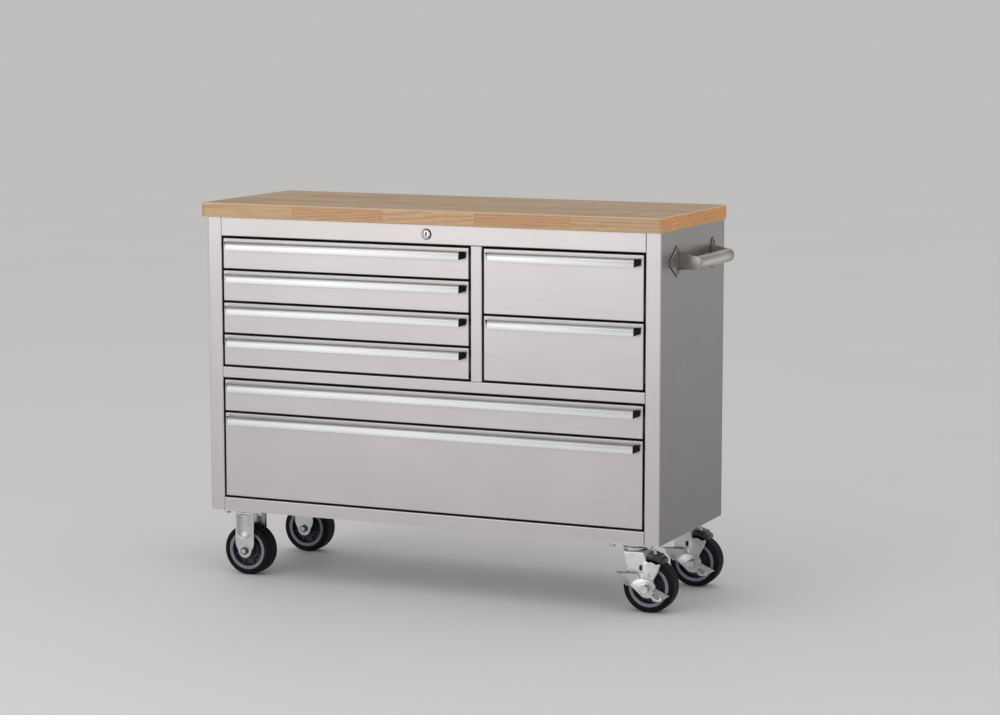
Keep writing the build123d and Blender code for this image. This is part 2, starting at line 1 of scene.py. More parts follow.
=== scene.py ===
import json
import math
import bmesh
import bpy
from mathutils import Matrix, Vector


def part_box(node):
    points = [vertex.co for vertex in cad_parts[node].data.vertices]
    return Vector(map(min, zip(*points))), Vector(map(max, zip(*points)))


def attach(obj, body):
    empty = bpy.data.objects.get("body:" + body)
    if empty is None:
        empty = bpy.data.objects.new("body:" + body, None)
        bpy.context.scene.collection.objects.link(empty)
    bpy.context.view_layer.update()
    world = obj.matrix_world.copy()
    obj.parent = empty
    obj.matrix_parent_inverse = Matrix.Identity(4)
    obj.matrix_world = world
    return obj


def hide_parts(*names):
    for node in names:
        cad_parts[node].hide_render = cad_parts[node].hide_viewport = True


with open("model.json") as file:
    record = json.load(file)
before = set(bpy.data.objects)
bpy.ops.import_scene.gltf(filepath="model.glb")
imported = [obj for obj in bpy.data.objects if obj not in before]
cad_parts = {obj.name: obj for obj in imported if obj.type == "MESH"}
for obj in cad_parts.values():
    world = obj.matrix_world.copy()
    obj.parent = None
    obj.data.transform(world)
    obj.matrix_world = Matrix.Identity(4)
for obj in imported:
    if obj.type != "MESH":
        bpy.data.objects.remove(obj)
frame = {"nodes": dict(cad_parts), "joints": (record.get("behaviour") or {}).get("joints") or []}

mm = 0.001
smoothAngle = 35                                 # degrees, where a piece asks for no other
alongY = (math.pi / 2, 0, 0)                     # lays a cylinder's axis along Y
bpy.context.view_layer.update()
print("frame loaded,", len(frame["nodes"]), "nodes")


# working habits shared by every piece

def clearSelection():
    if bpy.context.mode != "OBJECT":
        bpy.ops.object.mode_set(mode="OBJECT")
    bpy.ops.object.select_all(action="DESELECT")


def takeUp(piece):
    clearSelection()
    piece.select_set(True)
    bpy.context.view_layer.objects.active = piece


def openMesh(piece):
    takeUp(piece)
    bpy.ops.object.mode_set(mode="EDIT")


def closeMesh():
    bpy.ops.object.mode_set(mode="OBJECT")


def namePiece(name):
    piece = bpy.context.active_object
    piece.name = name
    piece.data.name = name
    bpy.ops.object.transform_apply(location=True, rotation=True, scale=True)
    return piece


def at(x, y, z):
    return Vector((x, y, z)) * mm


def startBlock(name, place, size, turn=(0, 0, 0)):
    clearSelection()
    bpy.ops.mesh.primitive_cube_add(size=1, location=place, rotation=turn, scale=at(*size))
    return namePiece(name)


def startCylinder(name, sides, radius, depth, place, turn=(0, 0, 0)):
    clearSelection()
    bpy.ops.mesh.primitive_cylinder_add(vertices=sides, radius=radius * mm, depth=depth * mm,
                                        location=place, rotation=turn)
    return namePiece(name)


def seatPiece(piece, place):
    takeUp(piece)
    piece.location = place
    return namePiece(piece.name)


def pickVerts(piece, test):
    bpy.ops.mesh.select_mode(type="VERT")
    bpy.ops.mesh.select_all(action="DESELECT")
    shape = bmesh.from_edit_mesh(piece.data)
    for vert in shape.verts:
        vert.select = bool(test(vert.co))
    shape.select_flush_mode()
    bmesh.update_edit_mesh(piece.data)


def pickEdges(piece, test):
    bpy.ops.mesh.select_mode(type="EDGE")
    bpy.ops.mesh.select_all(action="DESELECT")
    shape = bmesh.from_edit_mesh(piece.data)
    for edge in shape.edges:
        edge.select = bool(test(edge.verts[0].co, edge.verts[1].co))
    shape.select_flush_mode()
    bmesh.update_edit_mesh(piece.data)


def pickFaces(piece, test):
    bpy.ops.mesh.select_mode(type="FACE")
    bpy.ops.mesh.select_all(action="DESELECT")
    shape = bmesh.from_edit_mesh(piece.data)
    for face in shape.faces:
        face.select = bool(test(face.calc_center_median(), face.normal))
    shape.select_flush_mode()
    bmesh.update_edit_mesh(piece.data)


def drawChain(name, points):
    clearSelection()
    bpy.ops.mesh.primitive_plane_add(size=mm, location=points[0])
    piece = namePiece(name)
    bpy.ops.object.mode_set(mode="EDIT")
    bpy.ops.mesh.select_mode(type="VERT")
    bpy.ops.mesh.select_all(action="SELECT")
    bpy.ops.mesh.merge(type="CENTER")          # one vertex is left, and it is pushed along the points
    for here, there in zip(points, points[1:]):
        bpy.ops.mesh.extrude_vertices_move(TRANSFORM_OT_translate={"value": there - here})
    return piece


def roundCorners(piece, corners, steps=6):
    for corner, reach in corners:
        pickVerts(piece, lambda co: (co - corner).length < 0.02 * mm)
        bpy.ops.mesh.bevel(offset=reach * mm, segments=steps, affect="VERTICES")


def pushOut(step):
    bpy.ops.mesh.select_all(action="SELECT")
    bpy.ops.mesh.extrude_region_move(TRANSFORM_OT_translate={"value": step})


def plateFrom(name, points, step, corners=()):
    piece = drawChain(name, points)
    bpy.ops.mesh.select_all(action="SELECT")
    bpy.ops.mesh.edge_face_add()
    roundCorners(piece, corners)
    pushOut(step)
    closeMesh()
    return piece


def finishWith(piece, kind, **settings):
    takeUp(piece)
    tool = piece.modifiers.new(kind.title(), kind)
    for key, value in settings.items():
        setattr(tool, key, value)
    bpy.ops.object.modifier_apply(modifier=tool.name)


def easeEdges(piece, width, steps=2, angle=40):
    finishWith(piece, "BEVEL", width=width * mm, segments=steps, limit_method="ANGLE",
               angle_limit=math.radians(angle), harden_normals=False)


def cleanMesh(piece):
    openMesh(piece)
    bpy.ops.mesh.select_all(action="SELECT")
    bpy.ops.mesh.remove_doubles(threshold=0.002 * mm)
    bpy.ops.mesh.normals_make_consistent(inside=False)
    closeMesh()


def cutWith(piece, cutter):
    cleanMesh(piece)
    cleanMesh(cutter)
    finishWith(piece, "BOOLEAN", operation="DIFFERENCE", object=cutter, solver="EXACT")
    bpy.data.objects.remove(cutter)


def turnShape(name, outline, axis, steps, centre=(0, 0, 0)):
    piece = drawChain(name, outline)
    bpy.ops.mesh.select_all(action="SELECT")
    bpy.ops.mesh.spin(steps=steps, angle=math.tau, center=centre, axis=axis)
    closeMesh()
    cleanMesh(piece)
    return piece


def shapeGrid(name, across, lengthwise, where):
    clearSelection()
    bpy.ops.mesh.primitive_grid_add(x_subdivisions=across, y_subdivisions=lengthwise, size=2)
    piece = namePiece(name)
    for vert in piece.data.vertices:           # u and v run from 0 to 1
        vert.co = where((vert.co.x + 1) / 2, (vert.co.y + 1) / 2)
    return piece


def joinPieces(first, *others):
    clearSelection()
    for piece in (first, *others):
        piece.select_set(True)
    bpy.context.view_layer.objects.active = first
    bpy.ops.object.join()
    return first


def copyPiece(source, name, place, turn=0.0):
    takeUp(source)
    bpy.ops.object.duplicate()
    piece = bpy.context.active_object
    piece.rotation_euler.z = turn
    piece.location = place
    return namePiece(name)


def dressPiece(piece, finish, angle, body, slot, *nodes):
    cleanMesh(piece)
    takeUp(piece)
    bpy.ops.object.shade_smooth_by_angle(angle=math.radians(angle))
    piece.data.materials.clear()
    piece.data.materials.append(finishes[finish])
    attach(piece, body)
    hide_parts(*nodes)


def mix(a, b, share):
    return a + (b - a) * share


def ease(share):
    share = min(1.0, max(0.0, share))
    return share * share * (3 - 2 * share)


def along(table, z):
    for (z0, x0), (z1, x1) in zip(table, table[1:]):
        if z <= z1:
            return mix(x0, x1, (z - z0) / (z1 - z0))
    return table[-1][1]


# finishes

def newFinish(name, metallic=0.0, rough=0.5, gloss=0.5):
    finish = bpy.data.materials.new(name)
    finish.use_nodes = True
    shader = finish.node_tree.nodes["Principled BSDF"]
    shader.inputs["Metallic"].default_value = metallic
    shader.inputs["Roughness"].default_value = rough
    shader.inputs["Specular IOR Level"].default_value = gloss
    return finish


def addNode(finish, kind, inputs=None, **settings):
    node = finish.node_tree.nodes.new("ShaderNode" + kind)
    for key, value in settings.items():
        setattr(node, key, value)
    for key, value in (inputs or {}).items():
        if isinstance(value, bpy.types.NodeSocket):
            finish.node_tree.links.new(value, node.inputs[key])
        else:
            node.inputs[key].default_value = value
    return node


def toShader(finish, tones, rough=None, normal=None):
    shader = finish.node_tree.nodes["Principled BSDF"]
    for key, socket in (("Base Color", tones), ("Roughness", rough), ("Normal", normal)):
        if socket is not None:
            finish.node_tree.links.new(socket, shader.inputs[key])


def objectCoords(finish, scale=(1, 1, 1)):
    coords = addNode(finish, "TexCoord").outputs["Object"]
    return addNode(finish, "Mapping", {"Vector": coords, "Scale": scale}).outputs["Vector"]


def facingParts(finish):
    facing = addNode(finish, "NewGeometry").outputs["True Normal"]
    return addNode(finish, "SeparateXYZ", {0: facing}).outputs


def noise(finish, coords, scale=1.0, detail=3.0, rough=0.5, warp=0.0):
    sockets = {"Vector": coords, "Scale": scale, "Detail": detail, "Roughness": rough, "Distortion": warp}
    return addNode(finish, "TexNoise", sockets).outputs["Fac"]


def sums(finish, operation, a, b=0.0, c=0.0):
    return addNode(finish, "Math", {0: a, 1: b, 2: c}, operation=operation).outputs[0]


def vectorSums(finish, operation, a, b):
    return addNode(finish, "VectorMath", {0: a, 1: b}, operation=operation).outputs[0]


def spread(finish, value, low, high):
    return addNode(finish, "MapRange", {"Value": value, "To Min": low, "To Max": high}).outputs["Result"]


def ramp(finish, value, *stops):
    node = addNode(finish, "ValToRGB", {"Fac": value})
    marks = node.color_ramp.elements
    while len(marks) < len(stops):
        marks.new(0.5)
    for mark, (place, tone) in zip(marks, stops):
        mark.position = place
        mark.color = (*tone, 1)
    return node.outputs["Color"]


def blendTones(finish, share, a, b, kind="MIX"):
    a, b = (tone if isinstance(tone, bpy.types.NodeSocket) else (*tone, 1) for tone in (a, b))
    sockets = {0: share, 6: a, 7: b}             # the factor and the two colours of a colour mix
    return addNode(finish, "Mix", sockets, data_type="RGBA", blend_type=kind).outputs[2]


def bump(finish, height, strength, distance):
    sockets = {"Height": height, "Strength": strength, "Distance": distance * mm}
    return addNode(finish, "Bump", sockets).outputs["Normal"]


def shade(tone, share):
    return tuple(min(1.0, part * share) for part in tone)


# painted shade and painted reflection on polished metal: faces turned one way are darkened, as if they
# mirrored a darker room; stops are (how far turned, share of the tone)
def turnedShade(finish, tones, way, *stops):
    facing = addNode(finish, "NewGeometry").outputs["Normal"]
    turned = addNode(finish, "VectorMath", {0: facing, 1: way}, operation="DOT_PRODUCT").outputs["Value"]
    halved = sums(finish, "MULTIPLY_ADD", turned, 0.5, 0.5)
    shares = ramp(finish, halved, *(((place + 1) / 2, (share,) * 3) for place, share in stops))
    return blendTones(finish, 1.0, tones, shares, "MULTIPLY")


brushSizes = {"scratchAlong": 7, "scratchAcross": 1500, "streakAlong": 2.5, "streakAcross": 210,
              "clouds": 5.0, "scratchShare": 0.68, "streakShare": 0.32, "roughSpread": 0.07,
              "sideFoot": 0.17, "sideTop": 0.91}


# sheet steel brushed one way: fine scratches, wider streaks and faint clouds
def brushedSteel(name, tone, rough, runs, endShade=(), shadeStops=()):
    s = brushSizes
    finish = newFinish(name, metallic=1.0, rough=rough)
    scratchScale = tuple(s["scratchAlong"] if axis in runs else s["scratchAcross"] for axis in "xyz")
    streakScale = tuple(s["streakAlong"] if axis in runs else s["streakAcross"] for axis in "xyz")
    scratches = noise(finish, objectCoords(finish, scratchScale), 1.0, 4.0, 0.6)
    streaks = noise(finish, objectCoords(finish, streakScale), 1.0, 3.0, 0.6)
    clouds = noise(finish, objectCoords(finish), s["clouds"], 2.0, 0.5)
    streaked = sums(finish, "MULTIPLY", streaks, s["streakShare"])
    marks = sums(finish, "MULTIPLY_ADD", scratches, s["scratchShare"], streaked)
    tones = ramp(finish, marks, (0.34, shade(tone, 0.95)), (0.66, shade(tone, 1.045)))
    clouded = ramp(finish, clouds, (0.3, (0.95, 0.95, 0.95)), (0.7, (1, 1, 1)))
    coloured = blendTones(finish, 1.0, tones, clouded, "MULTIPLY")
    # painted shade and painted reflection by which way faces turn, measured from straight up
    if shadeStops:
        coloured = turnedShade(finish, coloured, (0, 0, 1), *shadeStops)
    if endShade:                                 # painted shade on the outer sides of the chest, darker towards the floor
        onEnd = sums(finish, "GREATER_THAN", sums(finish, "ABSOLUTE", facingParts(finish)["X"]), 0.9)
        height = addNode(finish, "SeparateXYZ", {0: objectCoords(finish)}).outputs["Z"]
        heights = {"Value": height, "From Min": s["sideFoot"], "From Max": s["sideTop"],
                   "To Min": endShade[0], "To Max": endShade[1]}
        fade = addNode(finish, "MapRange", heights).outputs["Result"]
        sideShaded = blendTones(finish, 1.0, coloured, fade, "MULTIPLY")
        coloured = blendTones(finish, onEnd, coloured, sideShaded)
    roughness = spread(finish, marks, rough - s["roughSpread"], rough + s["roughSpread"])
    toShader(finish, coloured, roughness, bump(finish, scratches, 0.12, 0.06))
    return finish


# plated or cast metal with a soft mottle
def platedMetal(name, tone, rough, size=55.0, contrast=0.14, shadeStops=(), way=(0.6, 0, 0.8)):
    finish = newFinish(name, metallic=1.0, rough=rough)
    mottle = noise(finish, objectCoords(finish), size, 4.0, 0.55, 0.4)
    specks = noise(finish, objectCoords(finish), size * 22, 2.0)
    tones = ramp(finish, mottle, (0.3, shade(tone, 1 - contrast)), (0.7, shade(tone, 1 + contrast / 3)))
    # painted shade and painted reflection by which way faces turn, measured from the given way
    if shadeStops:
        tones = turnedShade(finish, tones, way, *shadeStops)
    roughness = spread(finish, mottle, rough - 0.06, rough + 0.09)
    toShader(finish, tones, roughness, bump(finish, specks, 0.06, 0.05))
    return finish


# moulded plastic, rubber and paint: a fine skin and slight shifts of tone
def mouldedSkin(name, tone, rough, grain=1800.0, depth=0.08, contrast=0.25, patches=30.0, gloss=0.5):
    finish = newFinish(name, rough=rough, gloss=gloss)
    skin = noise(finish, objectCoords(finish), grain, 2.0, 0.6)
    worn = noise(finish, objectCoords(finish), patches, 4.0, 0.6)
    tones = ramp(finish, worn, (0.3, shade(tone, 1 - contrast)), (0.7, shade(tone, 1 + contrast)))
    roughness = spread(finish, worn, rough - 0.06, rough + 0.08)
    toShader(finish, tones, roughness, bump(finish, skin, 0.25, depth))
    return finish


woodSizes = {"staveWidth": 43, "staveLength": 245, "rowShift": 1.67, "staveSeed": 2765.0,
             "fingerPitch": 9, "fingerDepth": 9, "edgeRound": 3.4, "glueAlong": 0.45, "glueEnds": 0.5,
             "ringsPerMetre": 150, "ringWaver": 0.012, "ringStretch": 0.035, "grainSlope": 0.1,
             "arcsPerMetre": 115, "arcBend": 0.012, "heartSpread": 0.16,
             "waverGrain": (5, 26, 26), "arcGrain": (5, 20, 20), "fibreGrain": (26, 900, 900),
             "poreGrain": (70, 1500, 1500), "blotchGrain": (9, 70, 70),
             "topShare": 0.62, "topGrey": 0.55, "endShare": 0.9, "glueShare": 0.35, "edgeShare": 0.75,
             "paleTone": (0.735, 0.505, 0.305), "darkTone": (0.31, 0.165, 0.075),
             "rosyTone": (0.63, 0.352, 0.19), "endTone": (0.86, 0.385, 0.115),
             "topTone": (0.31, 0.21, 0.085), "edgeTone": (0.72, 0.54, 0.34)}


# laminated board: finger-jointed staves along X, with year rings that show as arcs on the two ends
def staveWood(name):
    s = woodSizes
    finish = newFinish(name, rough=0.42, gloss=0.34)
    low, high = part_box("worktop")
    coords = addNode(finish, "TexCoord").outputs["Object"]
    parts = addNode(finish, "SeparateXYZ", {0: coords}).outputs
    facing = facingParts(finish)

    # which stave a point is in
    row = sums(finish, "FLOOR", sums(finish, "DIVIDE", parts["Y"], s["staveWidth"] * mm))
    rowDice = addNode(finish, "TexWhiteNoise", {"W": row}, noise_dimensions="1D").outputs["Value"]
    fingers = sums(finish, "PINGPONG", parts["Y"], s["fingerPitch"] / 2 * mm)
    fingers = sums(finish, "MULTIPLY", fingers, 2 * s["fingerDepth"] / s["fingerPitch"])
    shifted = sums(finish, "ADD", parts["X"], sums(finish, "MULTIPLY", rowDice, s["rowShift"]))
    lengthwise = sums(finish, "DIVIDE", sums(finish, "ADD", shifted, fingers), s["staveLength"] * mm)
    block = sums(finish, "FLOOR", lengthwise)
    staveKey = addNode(finish, "CombineXYZ", {"X": block, "Y": row, "Z": s["staveSeed"]}).outputs[0]
    dice = addNode(finish, "TexWhiteNoise", {"Vector": staveKey}, noise_dimensions="3D")
    staveDice = dice.outputs["Value"]
    staveSpot = dice.outputs["Color"]

    # rings round a heart of its own in every stave, wavering along the grain
    heart = vectorSums(finish, "SUBTRACT", staveSpot, (0.5, 0.5, 0.5))
    heart = vectorSums(finish, "MULTIPLY", heart, (0, s["heartSpread"], s["heartSpread"]))
    slope = sums(finish, "SUBTRACT", addNode(finish, "SeparateXYZ", {0: staveSpot}).outputs["X"], 0.5)
    rise = sums(finish, "MULTIPLY", sums(finish, "MULTIPLY", slope, s["grainSlope"]), parts["X"])
    lean = addNode(finish, "CombineXYZ", {"Y": rise, "Z": rise}).outputs[0]
    heart = vectorSums(finish, "ADD", heart, lean)
    rowMiddle = sums(finish, "MULTIPLY", sums(finish, "ADD", row, 0.5), s["staveWidth"] * mm)
    inStave = {"X": parts["X"], "Y": sums(finish, "SUBTRACT", parts["Y"], rowMiddle),
               "Z": sums(finish, "SUBTRACT", parts["Z"], (low.z + high.z) / 2)}
    inStave = addNode(finish, "CombineXYZ", inStave).outputs[0]
    section = vectorSums(finish, "ADD", inStave, heart)
    section = vectorSums(finish, "MULTIPLY", section, (s["ringStretch"], 1, 1))
    waver = noise(finish, objectCoords(finish, s["waverGrain"]), 1.0, 3.0, 0.55, 0.6)
    plainSpan = addNode(finish, "VectorMath", {0: section}, operation="LENGTH").outputs["Value"]
    span = sums(finish, "MULTIPLY_ADD", waver, s["ringWaver"], plainSpan)
    rings = sums(finish, "FRACT", sums(finish, "MULTIPLY", span, s["ringsPerMetre"]))
    rings = sums(finish, "PINGPONG", rings, 0.62)
    bend = noise(finish, objectCoords(finish, s["arcGrain"]), 1.0, 2.0)
    bentSpan = sums(finish, "MULTIPLY_ADD", bend, s["arcBend"], plainSpan)
    arcs = sums(finish, "PINGPONG", sums(finish, "MULTIPLY", bentSpan, s["arcsPerMetre"]), 0.5)
    fibres = noise(finish, objectCoords(finish, s["fibreGrain"]), 1.0, 4.0, 0.65)
    pores = noise(finish, objectCoords(finish, s["poreGrain"]), 1.0, 1.0)
    blotches = noise(finish, objectCoords(finish, s["blotchGrain"]), 1.0, 4.0, 0.6, 1.2)
    figure = sums(finish, "MULTIPLY_ADD", rings, 0.42, sums(finish, "MULTIPLY", fibres, 0.36))
    figure = sums(finish, "MULTIPLY_ADD", blotches, 0.3, sums(finish, "SUBTRACT", figure, 0.02))

    # tones: each stave from pale to rosy, darker late wood, dark pores
    staveTone = ramp(finish, staveDice, (0.0, s["rosyTone"]), (0.3, s["paleTone"]),
                     (0.7, shade(s["paleTone"], 0.86)), (1.0, shade(s["rosyTone"], 0.8)))
    figureShare = ramp(finish, figure, (0.22, (0, 0, 0)), (0.78, (0.85, 0.85, 0.85)))
    figured = blendTones(finish, figureShare, staveTone, s["darkTone"])
    poreShare = ramp(finish, pores, (0.64, (0, 0, 0)), (0.74, (0.45, 0.45, 0.45)))
    longGrain = blendTones(finish, poreShare, figured, shade(s["darkTone"], 0.6))

    # the top is greyer, the cut ends more orange
    onTop = sums(finish, "GREATER_THAN", facing["Z"], 0.8)
    onTop = sums(finish, "MULTIPLY", onTop, s["topShare"])
    onEnd = sums(finish, "GREATER_THAN", sums(finish, "ABSOLUTE", facing["X"]), 0.8)
    onEnd = sums(finish, "MULTIPLY", onEnd, s["endShare"])
    greyed = blendTones(finish, s["topGrey"], longGrain, s["topTone"])
    topGrain = blendTones(finish, onTop, longGrain, greyed)
    endFigure = sums(finish, "MULTIPLY_ADD", arcs, 0.4, sums(finish, "MULTIPLY", blotches, 0.6))
    endGrain = ramp(finish, endFigure, (0.18, shade(s["endTone"], 1.1)), (0.6, shade(s["endTone"], 0.56)))
    withEnds = blendTones(finish, onEnd, topGrain, endGrain)

    # glue lines between staves
    glueY = sums(finish, "PINGPONG", sums(finish, "DIVIDE", parts["Y"], s["staveWidth"] * mm), 0.5)
    glueX = sums(finish, "PINGPONG", lengthwise, 0.5)
    longGlue = sums(finish, "LESS_THAN", glueY, s["glueAlong"] / s["staveWidth"])
    endGlue = sums(finish, "LESS_THAN", glueX, s["glueEnds"] / s["staveLength"])
    glue = sums(finish, "MULTIPLY", sums(finish, "MAXIMUM", longGlue, endGlue), s["glueShare"])
    glued = blendTones(finish, glue, withEnds, shade(s["darkTone"], 0.7))

    # painted highlight along the eased edges: near two faces of the board at once
    inward = []
    for axis in "XYZ":
        a, b = getattr(low, axis.lower()), getattr(high, axis.lower())
        fromMiddle = sums(finish, "ABSOLUTE", sums(finish, "SUBTRACT", parts[axis], (a + b) / 2))
        inward.append(sums(finish, "SUBTRACT", (b - a) / 2, fromMiddle))
    nearEdge = sums(finish, "ADD", sums(finish, "MAXIMUM", inward[0], inward[1]), 2 * mm)
    for side in inward[:2]:
        nearEdge = sums(finish, "MINIMUM", nearEdge, sums(finish, "MAXIMUM", side, inward[2]))
    edgeRange = {"Value": nearEdge, "From Min": s["edgeRound"] * mm, "From Max": 0.4 * s["edgeRound"] * mm,
                 "To Max": s["edgeShare"]}
    edgeHighlight = addNode(finish, "MapRange", edgeRange).outputs["Result"]
    tones = blendTones(finish, edgeHighlight, glued, s["edgeTone"])
    toShader(finish, tones, spread(finish, figure, 0.34, 0.5), bump(finish, figure, 0.12, 0.12))
    return finish


# pale studio floor, faintly clouded
def studioFloor(name, tone):
    finish = newFinish(name, rough=0.6, gloss=0.2)
    clouds = noise(finish, objectCoords(finish), 1.4, 3.0)
    toShader(finish, ramp(finish, clouds, (0.3, shade(tone, 0.985)), (0.7, tone)))
    return finish


steelTone = (0.60, 0.573, 0.578)
# stops for turnedShade, painted shade and painted reflection: (how far turned, share of the tone)
tubeShadeStops = (-1, 0.2), (-0.7, 0.35), (-0.3, 0.8), (0, 1), (0.3, 0.68), (0.65, 0.42), (0.9, 0.66), (1, 0.8)
pullShadeStops = (-0.02, 1), (0.12, 0.72), (0.5, 0.58)
forkShadeStops = (-0.4, 1), (-0.1, 0.92), (0.1, 0.8), (0.45, 0.45), (1, 0.38)
zincShadeStops = (-0.3, 1), (0.05, 0.96), (0.45, 0.6), (1, 0.48)
lockShadeStops = (-1, 0.5), (-0.6, 0.8), (-0.3, 1), (0.1, 1), (0.45, 0.1), (1, 0.03)
finishes = {
    "frontSteel": brushedSteel("frontSteel", steelTone, 0.36, "xy"),
    # sideSteel: painted shade on faces turned to either side, darker towards the floor
    "sideSteel": brushedSteel("sideSteel", steelTone, 0.36, "z", (0.49, 0.77)),
    "backSteel": brushedSteel("backSteel", shade(steelTone, 0.82), 0.42, "z"),
    # handleSteel: painted reflection bands round the tube, dark above and below a bright middle
    "handleSteel": brushedSteel("handleSteel", (0.88, 0.84, 0.80), 0.24, "y", (), tubeShadeStops),
    # the arms and feet: a darker copy of the handle's steel, painted shade
    "shadedArmSteel": brushedSteel("shadedArmSteel", (0.41, 0.39, 0.368), 0.32, "x"),
    # pullAluminium: painted shade on the upward-facing nose of each pull
    "pullAluminium": brushedSteel("pullAluminium", (0.90, 0.912, 0.93), 0.42, "x", (), pullShadeStops),
    # casterZinc: painted shade on faces turned up and to the right
    "casterZinc": platedMetal("casterZinc", (0.83, 0.855, 0.865), 0.36, 55.0, 0.14, zincShadeStops),
    # rigid forks and axles: a darker copy of the caster zinc, painted shade, with more painted shade on
    # faces turned up and to the right
    "shadedForkZinc": platedMetal("shadedForkZinc", (0.70, 0.725, 0.735), 0.34, 55.0, 0.14, forkShadeStops),
    "slideZinc": platedMetal("slideZinc", (0.62, 0.64, 0.66), 0.33, 40.0),
    # lockChrome: painted reflection, dark on faces turned to the right
    "lockChrome": platedMetal("lockChrome", (0.88, 0.88, 0.885), 0.24, 120.0, 0.06, lockShadeStops, (1, 0, 0)),
    "lockShadow": mouldedSkin("lockShadow", (0.006, 0.006, 0.006), 0.6, 2500.0, 0.02),
    "screwSteel": platedMetal("screwSteel", (0.30, 0.285, 0.265), 0.28, 200.0, 0.2),
    "darkSteel": platedMetal("darkSteel", (0.10, 0.095, 0.09), 0.38, 150.0, 0.3),
    "traySteel": mouldedSkin("traySteel", (0.34, 0.345, 0.35), 0.45, 700.0, 0.05, 0.06, 9.0),
    "capPlastic": mouldedSkin("capPlastic", (0.004, 0.004, 0.0045), 0.46, 2200.0, 0.05, gloss=0.25),
    "tyreRubber": mouldedSkin("tyreRubber", (0.0045, 0.0045, 0.005), 0.6, 1300.0, 0.12, 0.35, 22.0,
                              gloss=0.16),
    "rimPlastic": mouldedSkin("rimPlastic", (0.195, 0.20, 0.26), 0.38, 1500.0, 0.06, 0.18, 40.0),
    "corePlastic": mouldedSkin("corePlastic", (0.032, 0.034, 0.042), 0.42, 1500.0, 0.06, 0.25, 40.0),
    "brakePaint": platedMetal("brakePaint", (0.075, 0.08, 0.08), 0.36, 70.0, 0.4),
    "greenPaint": mouldedSkin("greenPaint", (0.10, 0.55, 0.22), 0.4, 2500.0, 0.02, 0.1, 300.0),
    "worktopWood": staveWood("worktopWood"),
}
print("finishes mixed,", len(finishes))

# the CAD pieces that keep their shape
keptNodes = {"worktop": "worktopWood", "left_side_panel": "sideSteel", "right_side_panel": "sideSteel",
             "back_panel": "backSteel", "base_panel": "backSteel", "top_rail": "frontSteel",
             "middle_rail": "frontSteel", "bottom_rail": "frontSteel", "centre_divider": "sideSteel",
             "slide_outer_rails": "slideZinc", "lock_shaft": "slideZinc", "lock_bar": "slideZinc"}
drawers = [joint["name"].removesuffix("_pull_out") for joint in frame["joints"]
           if joint["name"].endswith("_pull_out")]
for drawer in drawers:
    keptNodes[drawer + "_front"] = "frontSteel"
    keptNodes[drawer + "_box"] = "traySteel"
    keptNodes[drawer + "_mid_rails"] = "slideZinc"


def dressKeptNodes():
    for node, finish in keptNodes.items():
        mesh = frame["nodes"][node].data
        mesh.materials.clear()
        mesh.materials.append(finishes[finish])
    print("CAD pieces dressed,", len(keptNodes))


dressKeptNodes()


# drawer pulls: a folded aluminium strip between two black end caps

pullSizes = {"wall": 2.2, "crest": 9.5, "baseTop": 7.0, "baseBottom": 15.6, "noseReach": 4.9,
             "crestReach": 2.0, "capLength": 11.0, "capNose": 2.0, "capNoseReach": 6.0, "edge": 0.35,
             "capEdge": 0.6}


def makePullStrip(drawer):
    s = pullSizes
    low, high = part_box(drawer + "_pull")
    half = s["wall"] / 2 * mm
    x = low.x + s["capLength"] * mm
    points = [Vector((x, high.y - half, high.z - s["baseBottom"] * mm)),
              Vector((x, high.y - half, high.z - s["baseTop"] * mm)),
              Vector((x, high.y - s["crest"] * mm, high.z - half)),
              Vector((x, low.y + half, high.z - half)),
              Vector((x, low.y + half, low.z))]
    strip = drawChain(drawer + "_pullStrip", points)
    bends = [(points[1], s["wall"]), (points[2], s["crestReach"]), (points[3], s["noseReach"])]
    roundCorners(strip, bends, 8)
    pushOut(Vector((high.x - low.x - 2 * s["capLength"] * mm, 0, 0)))
    closeMesh()
    finishWith(strip, "SOLIDIFY", thickness=s["wall"] * mm, offset=0)
    easeEdges(strip, s["edge"])
    dressPiece(strip, "pullAluminium", 30, drawer, "pull_aluminium", drawer + "_pull")


def makePullCap(drawer, side, sideName):
    s = pullSizes
    low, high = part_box(drawer + "_pull")
    outer = high.x if side > 0 else low.x
    inner = outer - side * s["capLength"] * mm
    points = [Vector((inner, high.y, high.z - s["baseBottom"] * mm)),
              Vector((inner, high.y, high.z - s["baseTop"] * mm)),
              Vector((inner, high.y - s["crest"] * mm, high.z)),
              Vector((inner, low.y, high.z)),
              Vector((inner, low.y, low.z))]
    cap = plateFrom(f"{drawer}_{sideName}Cap", points, Vector((outer - inner, 0, 0)),
                    [(points[3], s["capNoseReach"])])
    cleanMesh(cap)
    openMesh(cap)
    bpy.ops.mesh.select_all(action="SELECT")
    slope = Vector((inner + side * s["capNose"] * mm - outer, low.y - high.y, 0))
    away = Vector((-slope.y, slope.x, 0)) * side
    bpy.ops.mesh.bisect(plane_co=(outer, high.y, low.z), plane_no=away, use_fill=True, clear_outer=True)
    closeMesh()
    easeEdges(cap, s["capEdge"], 2, 30)
    dressPiece(cap, "capPlastic", smoothAngle, drawer, "cap_plastic", drawer + "_pull")


for drawer in drawers:
    makePullStrip(drawer)
    makePullCap(drawer, -1, "left")
    makePullCap(drawer, 1, "right")
print("pulls made,", len(drawers))


# lock: stepped chrome bezel, sunk plug with a key slot and a green mark

lockSizes = {"bezel": 12.5, "bezelDepth": 3.0, "lip": 10.2, "bore": 8.2, "plug": 7.45, "plugFace": 2.2,
             "plugLength": 26.0, "slotWidth": 3.8, "slotHeight": 10.2, "slotDepth": 9.0, "wardRim": 0.7,
             "dot": 1.3, "dotDepth": 0.5, "dotRise": 9.2}


